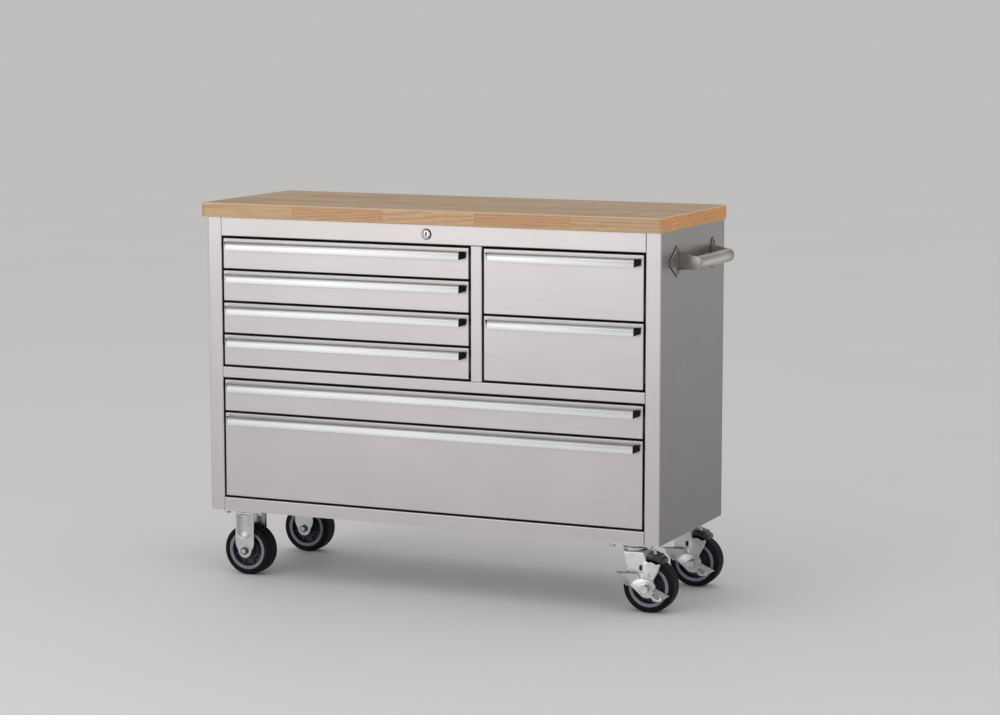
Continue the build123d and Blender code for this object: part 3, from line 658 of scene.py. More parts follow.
def makeLock():
    s = lockSizes
    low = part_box("lock_housing")[0]
    plugLow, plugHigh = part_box("lock_plug")
    centre = (plugLow + plugHigh) / 2
    centre.y = low.y + s["bezelDepth"] * mm      # the rail's front

    bezelLine = [at(0, 0.4, s["bore"]), at(0, -2.2, s["bore"]), at(0, -2.9, s["bore"] + 0.9),
                 at(0, -2.9, s["lip"]), at(0, -2.1, s["lip"] + 1.0), at(0, -1.5, s["bezel"] - 0.5),
                 at(0, -0.9, s["bezel"]), at(0, 0, s["bezel"]), at(0, 0.4, s["bezel"] - 1.5)]
    bezel = turnShape("lockBezelSeated", bezelLine + bezelLine[:1], (0, 1, 0), 72)
    seatPiece(bezel, centre)
    dressPiece(bezel, "lockChrome", 25, "cabinet", "bright_chrome", "lock_housing")

    plugMiddle = centre + at(0, s["plugLength"] / 2 - s["plugFace"], 0)
    plug = startCylinder("lockPlug", 64, s["plug"], s["plugLength"], plugMiddle, alongY)
    slot = startBlock("keySlot", centre - at(0, s["plugFace"], 0),
                      (s["slotWidth"], s["slotDepth"], s["slotHeight"]))
    easeEdges(slot, 0.5)
    cutWith(plug, slot)
    easeEdges(plug, 0.25)
    dressPiece(plug, "lockChrome", smoothAngle, "lock_cylinder", "bright_chrome", "lock_plug")

    # the wards inside, painted shadow-black behind the slot
    wardsShadow = startBlock("keyWardsShadow", centre - at(0, s["plugFace"] - s["wardRim"], 0),
                       (s["slotWidth"] + 0.1, 1.0, s["slotHeight"] + 0.1))
    bpy.ops.object.mode_set(mode="EDIT")
    pickFaces(wardsShadow, lambda middle, normal: normal.y < -0.9)
    bpy.ops.mesh.inset(thickness=s["wardRim"] * mm)
    bpy.ops.transform.translate(value=at(0, s["wardRim"], 0))
    closeMesh()
    dressPiece(wardsShadow, "lockShadow", smoothAngle, "lock_cylinder", "bright_chrome", "lock_plug")

    # a painted shadow line round the foot of the bezel
    wide = s["bezel"]
    shadowRingLine = [at(0, 0.1, wide - 1), at(0, -0.35, wide - 1), at(0, -0.35, wide + 0.8),
                at(0, 0.1, wide + 1.1)]
    shadowOutline = turnShape("lockShadowRing", shadowRingLine + shadowRingLine[:1], (0, 1, 0), 72)
    seatPiece(shadowOutline, centre)
    dressPiece(shadowOutline, "lockShadow", smoothAngle, "cabinet", "bright_chrome", "lock_housing")

    spot = centre + at(0, -s["bezelDepth"] + 0.1, s["dotRise"])
    dot = startCylinder("lockMark", 32, s["dot"], s["dotDepth"], spot, alongY)
    easeEdges(dot, 0.15)
    dressPiece(dot, "greenPaint", smoothAngle, "cabinet", "bright_chrome", "lock_housing")
    print("lock made")


makeLock()


# push handle: a tube between two bent arms with leaf-shaped feet

handleSizes = {"plate": 3.0, "tube": 16.0, "armRoot": 42.0, "rootLift": 4.0, "earRound": 12.0,
               "earSpread": 24.0, "earNear": 15.0, "earFar": 53.0,
               "earTurns": ((-120, -35), (-35, 35), (35, 120)), "armEdge": 0.6,
               "headRadius": 5.6, "headRise": 3.1, "recess": 2.6, "recessWidth": 1.1,
               "recessDepth": 1.7, "shadowOutlineRise": 0.8, "shadowOutlineEdge": 1.5}


def arcPoints(centre, radius, start, end, steps, place):
    points = []
    for step in range(steps + 1):
        angle = math.radians(mix(start, end, step / steps))
        points.append(place(centre[0] + radius * math.cos(angle), centre[1] + radius * math.sin(angle)))
    return points


def makeHandle():
    s = handleSizes
    low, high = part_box("push_handle")
    screwLow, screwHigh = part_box("handle_screws")
    plate = s["plate"] * mm
    wall = low.x
    tubeX = high.x - s["tube"] * mm
    tubeZ = (screwLow.z + screwHigh.z) / 2 - s["rootLift"] * mm
    bends = (low.y + (s["earFar"] + s["earRound"]) * mm, high.y - (s["earFar"] + s["earRound"]) * mm)

    tubeMiddle = (tubeX, (bends[0] + bends[1]) / 2, tubeZ)
    tube = startCylinder("handleTube", 72, s["tube"], (bends[1] - bends[0]) / mm, tubeMiddle, alongY)
    easeEdges(tube, 0.6, 2, 60)
    dressPiece(tube, "handleSteel", smoothAngle, "cabinet", "handle_stainless", "push_handle")

    rootX = (wall + plate / 2) / mm
    rootZ = tubeZ / mm + s["rootLift"]
    for end, bend, endName in ((-1, bends[0], "front"), (1, bends[1], "rear")):
        def onArm(x, z):
            return Vector((x * mm, bend, z * mm))

        def onFoot(y, z):
            return Vector((wall, y * mm, z * mm))

        outline = [onArm(rootX, rootZ - s["armRoot"] / 2)]
        outline += arcPoints((tubeX / mm, tubeZ / mm), s["tube"] + 0.3, -97, 90, 24, onArm)
        outline += [onArm(rootX, rootZ + s["armRoot"] / 2)]
        arm = plateFrom(f"handleArm_{endName}", outline, Vector((0, end * plate, 0)))
        bendY = bend / mm
        near = bendY + end * s["earNear"]
        far = bendY + end * s["earFar"]
        leaf = [onFoot(bendY, rootZ - s["armRoot"] / 2)]
        ears = [(near, rootZ - s["earSpread"]), (far, rootZ), (near, rootZ + s["earSpread"])]
        for ear, (start, stop) in zip(ears, s["earTurns"]):
            if end < 0:
                start, stop = 180 - start, 180 - stop
            leaf += arcPoints(ear, s["earRound"], start, stop, 8, onFoot)
        leaf += [onFoot(bendY, rootZ + s["armRoot"] / 2)]
        foot = plateFrom(f"handleFoot_{endName}", leaf, Vector((plate, 0, 0)))
        for part in (arm, foot):
            cleanMesh(part)
            easeEdges(part, s["armEdge"], 3, 50)
        joinPieces(arm, foot)
        dressPiece(arm, "shadedArmSteel", smoothAngle, "cabinet", "handle_stainless", "push_handle")
        makeFootShadowOutline(f"handleShadowOutline_{endName}", leaf)
        for index, (y, z) in enumerate(ears):
            makePanScrew(f"handleScrew_{endName}_{index + 1}", Vector((wall + plate, y * mm, z * mm)))
    print("handle made")


# painted shadow outline round each foot: a dark plate under it, a little wider than the foot
def makeFootShadowOutline(name, leaf):
    shadowOutline = plateFrom(name, leaf, at(handleSizes["shadowOutlineRise"], 0, 0))
    cleanMesh(shadowOutline)
    openMesh(shadowOutline)
    pickFaces(shadowOutline, lambda centre, normal: abs(normal.x) < 0.5)
    bpy.ops.transform.shrink_fatten(value=handleSizes["shadowOutlineEdge"] * mm, use_even_offset=True)
    closeMesh()
    easeEdges(shadowOutline, 0.25)
    dressPiece(shadowOutline, "lockShadow", smoothAngle, "cabinet", "handle_stainless", "push_handle")


def makePanScrew(name, seat):
    s = handleSizes
    wide = s["headRadius"]
    # painted shadow ring under the head
    ring = [at(-0.3, 0, 4.0), at(-0.3, 0, wide + 1.6), at(0.35, 0, wide + 1.4), at(0.5, 0, 4.0)]
    shadowOutline = turnShape(name + "_shadowRing", ring + ring[:1], (1, 0, 0), 40)
    seatPiece(shadowOutline, seat)
    dressPiece(shadowOutline, "lockShadow", smoothAngle, "cabinet", "bright_chrome", "handle_screws")
    dome = [at(-0.2, 0, wide), at(0.6, 0, wide), at(1.9, 0, wide - 0.7), at(2.8, 0, wide - 2.4),
            at(s["headRise"], 0, wide - 4.2), at(s["headRise"], 0, 0)]
    head = turnShape(name, dome, (1, 0, 0), 40)
    openMesh(head)
    bpy.ops.mesh.select_all(action="DESELECT")
    bpy.ops.mesh.select_non_manifold(extend=False)
    bpy.ops.mesh.fill()
    closeMesh()
    for turn in (0, math.pi / 2):
        recessSize = (2 * s["recessDepth"], s["recessWidth"], 2 * s["recess"])
        cutWith(head, startBlock("crossRecess", at(s["headRise"], 0, 0), recessSize, (turn, 0, 0)))
    seatPiece(head, seat)
    dressPiece(head, "screwSteel", smoothAngle, "cabinet", "bright_chrome", "handle_screws")


makeHandle()


# caster plates with their hex bolts

plateSizes = {"length": 112, "width": 92, "thickness": 5.5, "corner": 8, "edge": 0.6, "boltX": 48,
              "boltY": 34, "boltFlats": 13, "headHeight": 5.3, "headRim": 0.9, "headCrown": 0.5,
              "dimpleRim": 2.6, "dimple": 0.35, "washer": 8.6, "washerHeight": 1.3}
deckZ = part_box("base_panel")[0].z / mm           # underside of the cabinet
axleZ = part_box("front_left_wheel")[1].z / mm / 2


def nodeMiddles(node):
    low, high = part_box(node)
    halfWidth = plateSizes["width"] / 2 * mm
    x = (low.x + high.x) / 2
    return {"front": Vector((x, low.y + halfWidth, 0)), "rear": Vector((x, high.y - halfWidth, 0))}


rigidPivots = nodeMiddles("rigid_caster_forks")
swivelPivots = nodeMiddles("swivel_caster_plates")


def makePlates():
    s = plateSizes
    plate = startBlock("casterPlate", at(0, 0, deckZ - s["thickness"] / 2),
                       (s["length"], s["width"], s["thickness"]))
    bpy.ops.object.mode_set(mode="EDIT")
    pickEdges(plate, lambda a, b: abs(a.z - b.z) > mm)
    bpy.ops.mesh.bevel(offset=s["corner"] * mm, segments=8)
    closeMesh()
    easeEdges(plate, s["edge"], 2, 50)

    headZ = deckZ - s["thickness"] - s["washerHeight"]
    headMiddle = at(0, 0, headZ - s["headHeight"] / 2)
    bolt = startCylinder("plateBolt", 6, s["boltFlats"] / math.sqrt(3), s["headHeight"], headMiddle)
    bpy.ops.object.mode_set(mode="EDIT")
    pickFaces(bolt, lambda centre, normal: normal.z < -0.9)
    bpy.ops.mesh.inset(thickness=s["headRim"] * mm)
    bpy.ops.transform.translate(value=at(0, 0, -s["headCrown"]))
    bpy.ops.mesh.inset(thickness=s["dimpleRim"] * mm)
    bpy.ops.transform.translate(value=at(0, 0, s["dimple"]))
    closeMesh()
    easeEdges(bolt, 0.3, 2, 25)
    ring = [at(4.2, 0, headZ), at(s["washer"], 0, headZ), at(s["washer"], 0, headZ + s["washerHeight"]),
            at(4.2, 0, headZ + s["washerHeight"])]
    washer = turnShape("plateWasher", ring + ring[:1], (0, 0, 1), 40)
    easeEdges(washer, 0.25)
    joinPieces(bolt, washer)

    for pivots, side, node in ((rigidPivots, "left", "rigid_caster_forks"),
                               (swivelPivots, "right", "swivel_caster_plates")):
        for end, pivot in pivots.items():
            seated = copyPiece(plate, f"casterPlate_{end}_{side}", pivot)
            dressPiece(seated, "casterZinc", smoothAngle, "cabinet", "caster_zinc", node)
            for index, (x, y) in enumerate(((-1, -1), (1, -1), (1, 1), (-1, 1))):
                corner = at(x * s["boltX"], y * s["boltY"], 0)
                screwed = copyPiece(bolt, f"plateBolt_{end}_{side}_{index + 1}", pivot + corner)
                dressPiece(screwed, "casterZinc", 25, "cabinet", "caster_zinc", "caster_bolts")
    for template in (plate, bolt):
        bpy.data.objects.remove(template)
    print("caster plates made")


makePlates()


# wheels: black tyre on a ribbed plastic core, modelled with the axle along Y

wheelSizes = {"radius": 63.5, "half": 25.0, "tyreInner": 50.0, "rimHalf": 23.0, "rimInner": 41.4,
              "dish": 39.6, "webHalf": 7.0, "ringOuter": 27.5, "ringInner": 23.5, "ringHalf": 15.0,
              "hub": 17.0, "hubHalf": 26.5, "bore": 6.15, "ribs": 8, "ribThick": 4.0, "ribHalf": 14.0,
              "ribBite": 3.0, "steps": 96}


def mirroredLoop(halfPoints):
    other = [Vector((p.x, -p.y, p.z)) for p in reversed(halfPoints)]
    loop = halfPoints + [p for p in other if abs(p.y) > 1e-9]
    return loop + loop[:1]


def makeWheels():
    s = wheelSizes
    half, radius = s["half"], s["radius"]
    tyreHalf = [at(0, -s["rimHalf"] - 0.6, s["tyreInner"]), at(0, -half, s["tyreInner"] + 1.4),
                at(0, -half, 55.2), at(0, -half - 0.45, 55.5), at(0, -half - 0.45, 56.4), at(0, -half, 56.7),
                at(0, -half + 1.6, 60.6), at(0, -half + 4.6, 62.8), at(0, -half + 8.4, radius),
                at(0, -9.4, radius), at(0, -8.8, radius - 0.9), at(0, -7.8, radius - 0.9),
                at(0, -7.2, radius)]
    tyre = turnShape("tyre", mirroredLoop(tyreHalf), (0, 1, 0), s["steps"])

    hub, web, ring, rimSide = -s["hubHalf"], -s["webHalf"], -s["ringHalf"], -s["rimHalf"]
    coreHalf = [at(0, hub, s["bore"]), at(0, hub, s["hub"] - 3.0), at(0, hub + 2.5, s["hub"]),
                at(0, web - 3, s["hub"] + 1.2), at(0, web - 3, s["ringInner"] - 0.8),
                at(0, ring + 0.8, s["ringInner"]), at(0, ring, s["ringInner"] + 0.8),
                at(0, ring, s["ringOuter"] - 0.8), at(0, ring + 0.8, s["ringOuter"]),
                at(0, web - 1.2, s["ringOuter"] + 0.8), at(0, web, s["ringOuter"] + 2.2),
                at(0, web, s["dish"] - 2.4), at(0, web - 1.6, s["dish"] - 0.6),
                at(0, rimSide + 3.0, s["rimInner"] - 0.4), at(0, rimSide + 3.0, s["rimInner"] + 1.0)]
    core = turnShape("wheelCore", mirroredLoop(coreHalf), (0, 1, 0), s["steps"])
    rimLine = [at(0, rimSide + 4.0, s["rimInner"] - 0.1), at(0, rimSide + 1.2, s["rimInner"]),
               at(0, rimSide, s["rimInner"] + 1.0), at(0, rimSide, s["tyreInner"] - 0.9),
               at(0, rimSide + 0.8, s["tyreInner"])]
    rim = turnShape("wheelRim", mirroredLoop(rimLine), (0, 1, 0), s["steps"])
    ribLength = s["dish"] - s["ringOuter"] + s["ribBite"]
    rib = startBlock("coreRib", at(0, 0, (s["dish"] + s["ringOuter"]) / 2),
                     (s["ribThick"], 2 * s["ribHalf"], ribLength))
    easeEdges(rib, 0.9)
    ribs = []
    for index in range(s["ribs"]):
        turned = copyPiece(rib, f"coreRib{index}", (0, 0, 0))
        turned.rotation_euler.y = math.tau * (index + 0.5) / s["ribs"]
        bpy.ops.object.transform_apply(location=True, rotation=True, scale=True)
        ribs.append(turned)
    bpy.data.objects.remove(rib)
    joinPieces(core, *ribs)

    layers = ((tyre, "tyre", "tyreRubber", "wheel_rubber"),
              (core, "wheelCore", "corePlastic", "wheel_core_plastic"),
              (rim, "wheelRim", "rimPlastic", "wheel_core_plastic"))
    for side, turn in (("left", 0.0), ("right", swivelTurn)):
        for end in ("front", "rear"):
            body = f"{end}_{side}_wheel"
            low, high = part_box(body)
            for template, name, finish, slot in layers:
                layer = copyPiece(template, f"{name}_{end}_{side}", (low + high) / 2, turn)
                dressPiece(layer, finish, 28, body, slot, body)
    for template in (tyre, core, rim):
        bpy.data.objects.remove(template)
    print("wheels made")


rollAxis = next(joint for joint in frame["joints"] if joint["name"] == "front_right_wheel_roll")["axis"]
swivelTurn = math.atan2(-rollAxis[0], rollAxis[1])
makeWheels()


# rigid casters: pressed U fork with a hollow in each leg, and a bolt through the wheel

rigidSizes = {"face": 34.5, "sheet": 2.5, "legHalf": 26.0, "foot": 18.0, "straight": 20.0, "bend": 6.0,
              "pocketHalf": 21.0, "pocketDepth": 5.7, "pocketSag": 51.0, "pocketTop": 5.5, "edge": 0.5,
              "topGap": 0.1, "boltReach": 8.0, "boltRadius": 6.6}
# where a fork's sheet changes, from the tip of its foot (0) to the middle of its crown (1)
forkShares = {"foot": 0.25, "flare": 0.4, "bend": 0.85, "crown": 0.93}


def roundFoot(v, radius):
    angle = v / forkShares["foot"] * math.pi / 2
    return axleZ - radius * math.cos(angle), radius * math.sin(angle)


def overBend(v, face, bend):                     # side and rise past the bend
    start, stop = forkShares["bend"], forkShares["crown"]
    angle = min(1.0, (v - start) / (stop - start)) * math.pi / 2
    side = bend * (1 - math.cos(angle)) - face
    if v > stop:
        side = mix(bend - face, 0, (v - stop) / (1 - stop))
    return side, bend * math.sin(angle)


def makeForkSheet(name, across, lengthwise, where, s):
    fork = shapeGrid(name, across, lengthwise, where)
    finishWith(fork, "MIRROR", use_axis=(False, True, False), merge_threshold=0.02 * mm)
    cleanMesh(fork)
    finishWith(fork, "SOLIDIFY", thickness=s["sheet"] * mm, offset=-1)
    easeEdges(fork, s["edge"], 2, 60)
    return fork


def makeRigidForks():
    s = rigidSizes
    f = forkShares
    straightZ = axleZ + s["straight"]
    bendZ = deckZ - plateSizes["thickness"] - s["topGap"] - s["bend"]

    def onFork(u, v):
        half = s["legHalf"]
        if v < f["foot"]:
            z, half = roundFoot(v, s["foot"])
        elif v < f["flare"]:
            share = (v - f["foot"]) / (f["flare"] - f["foot"])
            z = mix(axleZ, straightZ, share)
            half = mix(s["foot"], s["legHalf"], math.sin(share * math.pi / 2))
        else:
            z = mix(straightZ, bendZ, (v - f["flare"]) / (f["bend"] - f["flare"]))
        x = (2 * u - 1) * half
        if v > f["bend"]:
            y, rise = overBend(v, s["face"], s["bend"])
            return at(x, y, bendZ + rise)
        heart = axleZ + s["pocketSag"]
        reach = abs(x) if z > heart else math.hypot(x, z - heart)
        hollow = max(0.0, 1 - (reach / s["pocketHalf"]) ** 2)
        pressed = s["pocketDepth"] * hollow * ease((bendZ - z) / s["pocketTop"])
        return at(x, pressed - s["face"], z)

    fork = makeForkSheet("rigidFork", 44, 120, onFork, s)
    boltEnd = s["face"] + s["boltReach"]
    bolt = makeAxleBolt("rigidAxleBolt", boltEnd, boltEnd, s["boltRadius"])
    nuts = makeHexNut("rigidAxleNutNear", s["face"], -1)
    joinPieces(nuts, makeHexNut("rigidAxleNutFar", s["face"], 1))
    parts = ((fork, "rigidFork", "shadedForkZinc", 20, "rigid_caster_forks"),
             (bolt, "rigidAxle", "shadedForkZinc", smoothAngle, "rigid_caster_axles"),
             (nuts, "rigidAxleNuts", "darkSteel", 25, "rigid_caster_axles"))
    for end, pivot in rigidPivots.items():
        for template, name, finish, angle, node in parts:
            seated = copyPiece(template, f"{name}_{end}", pivot)
            dressPiece(seated, finish, angle, "cabinet", "caster_zinc", node)
    for template in (fork, bolt, nuts):
        bpy.data.objects.remove(template)
    print("rigid casters made")


def makeAxleBolt(name, nearEnd, farEnd, radius=6.0):
    outline = [at(0, -nearEnd, 0), at(0, -nearEnd, radius - 1.6), at(0, -nearEnd + 1.4, radius),
               at(0, farEnd - 1.4, radius), at(0, farEnd, radius - 1.6), at(0, farEnd, 0)]
    return turnShape(name, [p + at(0, 0, axleZ) for p in outline], (0, 1, 0), 40, at(0, 0, axleZ))


def makeHexNut(name, face, side, flats=18.0, height=5.0):
    middle = at(0, side * (face + height / 2), axleZ)
    nut = startCylinder(name, 6, flats / math.sqrt(3), height, middle, alongY)
    bpy.ops.object.mode_set(mode="EDIT")
    pickFaces(nut, lambda centre, normal: normal.y * side > 0.9)
    bpy.ops.mesh.inset(thickness=1.3 * mm)
    bpy.ops.transform.translate(value=at(0, side * 0.7, 0))
    closeMesh()
    easeEdges(nut, 0.35, 2, 20)
    return nut


makeRigidForks()


# swivel casters: race, leaning fork, brake arm and shoe, pressed pedal, long round nut

swivelSizes = {"face": 31.5, "sheet": 3.0, "foot": 21.0, "trail": 38.0, "crownTop": 150.0, "bend": 6.0,
               "leftEdge": ((63.5, 17.0), (80.0, 8.0), (102.0, -10.0), (150.0, -22.0)),
               "rightEdge": ((63.5, 59.0), (84.0, 53.0), (108.0, 38.0), (132.0, 33.5), (143.0, 30.0),
                             (150.0, 25.0)),
               "race": 34.0, "lowerRace": 31.0, "edge": 0.5, "boltNear": 6.0, "boltFar": 8.0}


def makeSwivelForks():
    s = swivelSizes
    f = forkShares
    bendZ = s["crownTop"] - s["bend"]

    def onFork(u, v):
        if v < f["foot"]:
            z, half = roundFoot(v, s["foot"])
            return at(s["trail"] + (2 * u - 1) * half, -s["face"], z)
        y = -s["face"]
        z = mix(axleZ, bendZ, (min(v, f["bend"]) - f["foot"]) / (f["bend"] - f["foot"]))
        if v > f["bend"]:
            y, rise = overBend(v, s["face"], s["bend"])
            z += rise
        return at(mix(along(s["leftEdge"], z), along(s["rightEdge"], z), u), y, z)

    fork = makeForkSheet("swivelFork", 20, 90, onFork, s)

    wide = s["lowerRace"]
    lower = [at(8, 0, 148), at(wide - 4, 0, 148), at(wide - 1, 0, 150.6), at(wide, 0, 153),
             at(wide, 0, 156.4), at(wide - 0.8, 0, 157.4), at(8, 0, 157.4)]
    joinPieces(fork, turnShape("lowerRace", lower + lower[:1], (0, 0, 1), 64))

    wide = s["race"]
    upper = [at(0, 0, 158.2), at(wide - 6, 0, 158.2), at(wide - 2.4, 0, 159.0), at(wide - 0.5, 0, 161.2),
             at(wide, 0, 163.6), at(wide - 0.6, 0, 165.9), at(0, 0, 165.9)]
    upperRace = turnShape("upperRace", upper, (0, 0, 1), 64)

    arm = makeBrakeArm()
    armShadow = makeArmShadow()
    shoe = makeBrakeShoe()
    stud = makeShoeStud()
    bolt = makeAxleBolt("swivelAxleBolt", s["face"] + s["boltNear"], s["face"] + s["boltFar"])
    roundNut = makeRoundNut()
    joinPieces(bolt, makeHexNut("swivelAxleNut", s["face"], 1))
    for piece in (bolt, roundNut):
        seatPiece(piece, at(s["trail"], 0, 0))
    pedal = makePedal()

    riding = ((fork, "swivelFork", "casterZinc"), (arm, "brakeArm", "casterZinc"),
              (armShadow, "armShadow", "lockShadow"), (shoe, "brakeShoe", "brakePaint"),
              (stud, "shoeStud", "casterZinc"), (bolt, "swivelAxle", "casterZinc"),
              (roundNut, "roundNut", "casterZinc"))
    for end, pivot in swivelPivots.items():
        body = f"{end}_swivel"
        node = f"{end}_swivel_fork"
        race = copyPiece(upperRace, f"upperRace_{end}", pivot)
        dressPiece(race, "casterZinc", 30, "cabinet", "caster_zinc", "swivel_caster_plates")
        for template, name, finish in riding:
            seated = copyPiece(template, f"{name}_{end}", pivot, swivelTurn)
            dressPiece(seated, finish, 25, body, "caster_zinc", node)
        pressed = copyPiece(pedal, f"brakePedal_{end}", pivot, swivelTurn)
        dressPiece(pressed, "casterZinc", 30, f"{end}_brake", "caster_zinc", f"{end}_brake_pedal")
    for template in (fork, upperRace, arm, armShadow, shoe, stud, bolt, roundNut, pedal):
        bpy.data.objects.remove(template)
    print("swivel casters made")


armSizes = {"face": 37.0, "rightFace": 33.4, "sheet": 2.6, "hub": 19.0, "holeX": 23.0, "holeZ": 108.5,
            "holeRadius": 4.2, "holeRise": 4.0, "holeCut": 14.0, "bumpX": 43.0, "bumpZ": 93.5,
            "leanFrom": 20.0, "leanTo": 71.0}


# an upright slot with round ends: the cutter, and the painted shadow behind the cut
def makeLongHole(name, radius, depth, y):
    s = armSizes
    hole = startCylinder(name, 40, radius, depth, at(s["holeX"], y, s["holeZ"]), alongY)
    openMesh(hole)
    pickVerts(hole, lambda co: co.z > (s["holeZ"] + 0.01) * mm)
    bpy.ops.transform.translate(value=at(0, 0, s["holeRise"]))
    closeMesh()
    return hole


def makeBrakeArm():
    s = armSizes
    trail = swivelSizes["trail"]

    def onArm(x, z):
        return at(x, -s["face"], z)

    outline = arcPoints((trail, axleZ), s["hub"], 160, 380, 20, onArm)
    edge = ((54, 84), (60, 94), (66.5, 108), (70.5, 120), (67.5, 122.5), (63.5, 121), (60, 119.5),
            (56, 122.3), (50, 125.3), (44.5, 126.3), (41.5, 124), (39, 126.2), (33.5, 128.5), (27, 117),
            (16, 99), (17.5, 86))
    arm = plateFrom("brakeArm", outline + [onArm(x, z) for x, z in edge], at(0, s["sheet"], 0))
    cutWith(arm, makeLongHole("armHole", s["holeRadius"], s["holeCut"], -s["face"]))
    easeEdges(arm, 0.4, 2, 50)
    tab = makeCapsule("armTab", 7.5, 3.4, 2.0, onArm(s["holeX"] + 1.0, s["holeZ"] - 7.5), 0)
    knob = makeCapsule("armBump", 9.5, 2.2, 2.2, onArm(s["bumpX"], s["bumpZ"]), 90)
    joinPieces(arm, tab, knob)
    for vert in arm.data.vertices:               # the right part leans towards the wheel
        lean = ease((vert.co.x / mm - s["leanFrom"]) / (s["leanTo"] - s["leanFrom"]))
        vert.co.y += (s["face"] - s["rightFace"]) * lean * mm
    return arm


def makeCapsule(name, length, radius, rise, centre, tilt):
    clearSelection()
    bpy.ops.mesh.primitive_uv_sphere_add(segments=32, ring_count=16, radius=radius * mm)
    capsule = namePiece(name)
    half = max(0.0, length / 2 - radius)
    bpy.ops.object.mode_set(mode="EDIT")
    for side in (-1, 1):
        pickVerts(capsule, lambda co: co.x * side > 0.001 * mm)
        bpy.ops.transform.translate(value=at(side * half, 0, 0))
    bpy.ops.mesh.select_all(action="SELECT")
    bpy.ops.transform.resize(value=(1, rise / radius, 1))
    bpy.ops.transform.rotate(value=math.radians(tilt), orient_axis="Y", center_override=(0, 0, 0))
    bpy.ops.transform.translate(value=centre)
    closeMesh()
    return capsule


def makeArmShadow():
    s = armSizes
    shadow = makeLongHole("armShadow", s["holeRadius"] + 0.4, 0.8, -s["face"] + 2.2)
    easeEdges(shadow, 0.2)
    return shadow


shoeSizes = {"gap": 1.6, "near": 27.0, "width": 42.0, "edge": 1.0, "studX": 53.0, "studY": -18.0}


def makeBrakeShoe():
    s = shoeSizes
    under = wheelSizes["radius"] + s["gap"]

    def onShoe(x, z):
        return at(x, -s["near"], z)

    outline = arcPoints((swivelSizes["trail"], axleZ), under, 93, 57, 12, onShoe)
    edge = ((76, 124), (74, 131), (68, 133.5), (64, 140), (55, 141), (51, 144.2), (38, 144.2), (34.5, 139))
    shoe = plateFrom("brakeShoe", outline + [onShoe(x, z) for x, z in edge], at(0, s["width"], 0))
    easeEdges(shoe, s["edge"], 2, 25)
    return shoe


def makeShoeStud():
    outline = [at(0, 0, 138), at(2.9, 0, 138), at(2.9, 0, 143.5), at(4.8, 0, 144), at(4.8, 0, 147.2),
               at(2.6, 0, 147.6), at(2.6, 0, 153.5), at(1.8, 0, 154.4), at(0, 0, 154.4)]
    stud = turnShape("shoeStud", outline, (0, 0, 1), 32)
    return seatPiece(stud, at(shoeSizes["studX"], shoeSizes["studY"], 0))


roundNutSizes = {"gap": 3.2, "length": 20.0}


def makeRoundNut():
    start = armSizes["face"] + roundNutSizes["gap"]
    end = start + roundNutSizes["length"]
    outline = [at(0, -end + 0.6, 0), at(0, -end + 0.6, 5.2), at(0, -end, 6.0), at(0, -end, 8.6),
               at(0, -end + 1.5, 10.2), at(0, -start - 3.0, 10.4), at(0, -start - 2.4, 12.4),
               at(0, -start, 12.4), at(0, -start, 0)]
    return turnShape("roundNut", [p + at(0, 0, axleZ) for p in outline], (0, 1, 0), 56, at(0, 0, axleZ))


pedalSizes = {"sheet": 2.4, "gap": 0.4, "slotLength": 18.5, "slotWidth": 7.4, "slotX": 23.5, "slotZ": -19.0,
              "slotTilt": -34.0, "slotCut": 20.0, "ribEnds": 4.4, "ribSides": 1.5, "ribRise": 2.6,
              "ribSink": 0.6,
              "flangeRoot": ((13.5, -5.2, -1.2), (41.5, -24.6, -1.2)),
              "flangeBack": ((19.5, -1.0, 6.5), (54, -17.5, 8.5)),
              "flapHub": ((-21, -2, 33), (-15.5, 0, 21.5), (-27, 0, 12.5), (-39, 0, 3.4)),
              "flapEdge": ((-63, -27, 37), (-60, -24, 26), (-54, -17, 15), (-46, -9, 4.5)),
              "lipRim": ((-24, 5, 35.5), (-75, -25, 39.5)), "flapBelly": 5.0, "flapSweep": 1.5}


def curvePoint(points, share):
    place = share * (len(points) - 1)
    index = min(int(place), len(points) - 2)
    return Vector(points[index]).lerp(Vector(points[index + 1]), place - index)


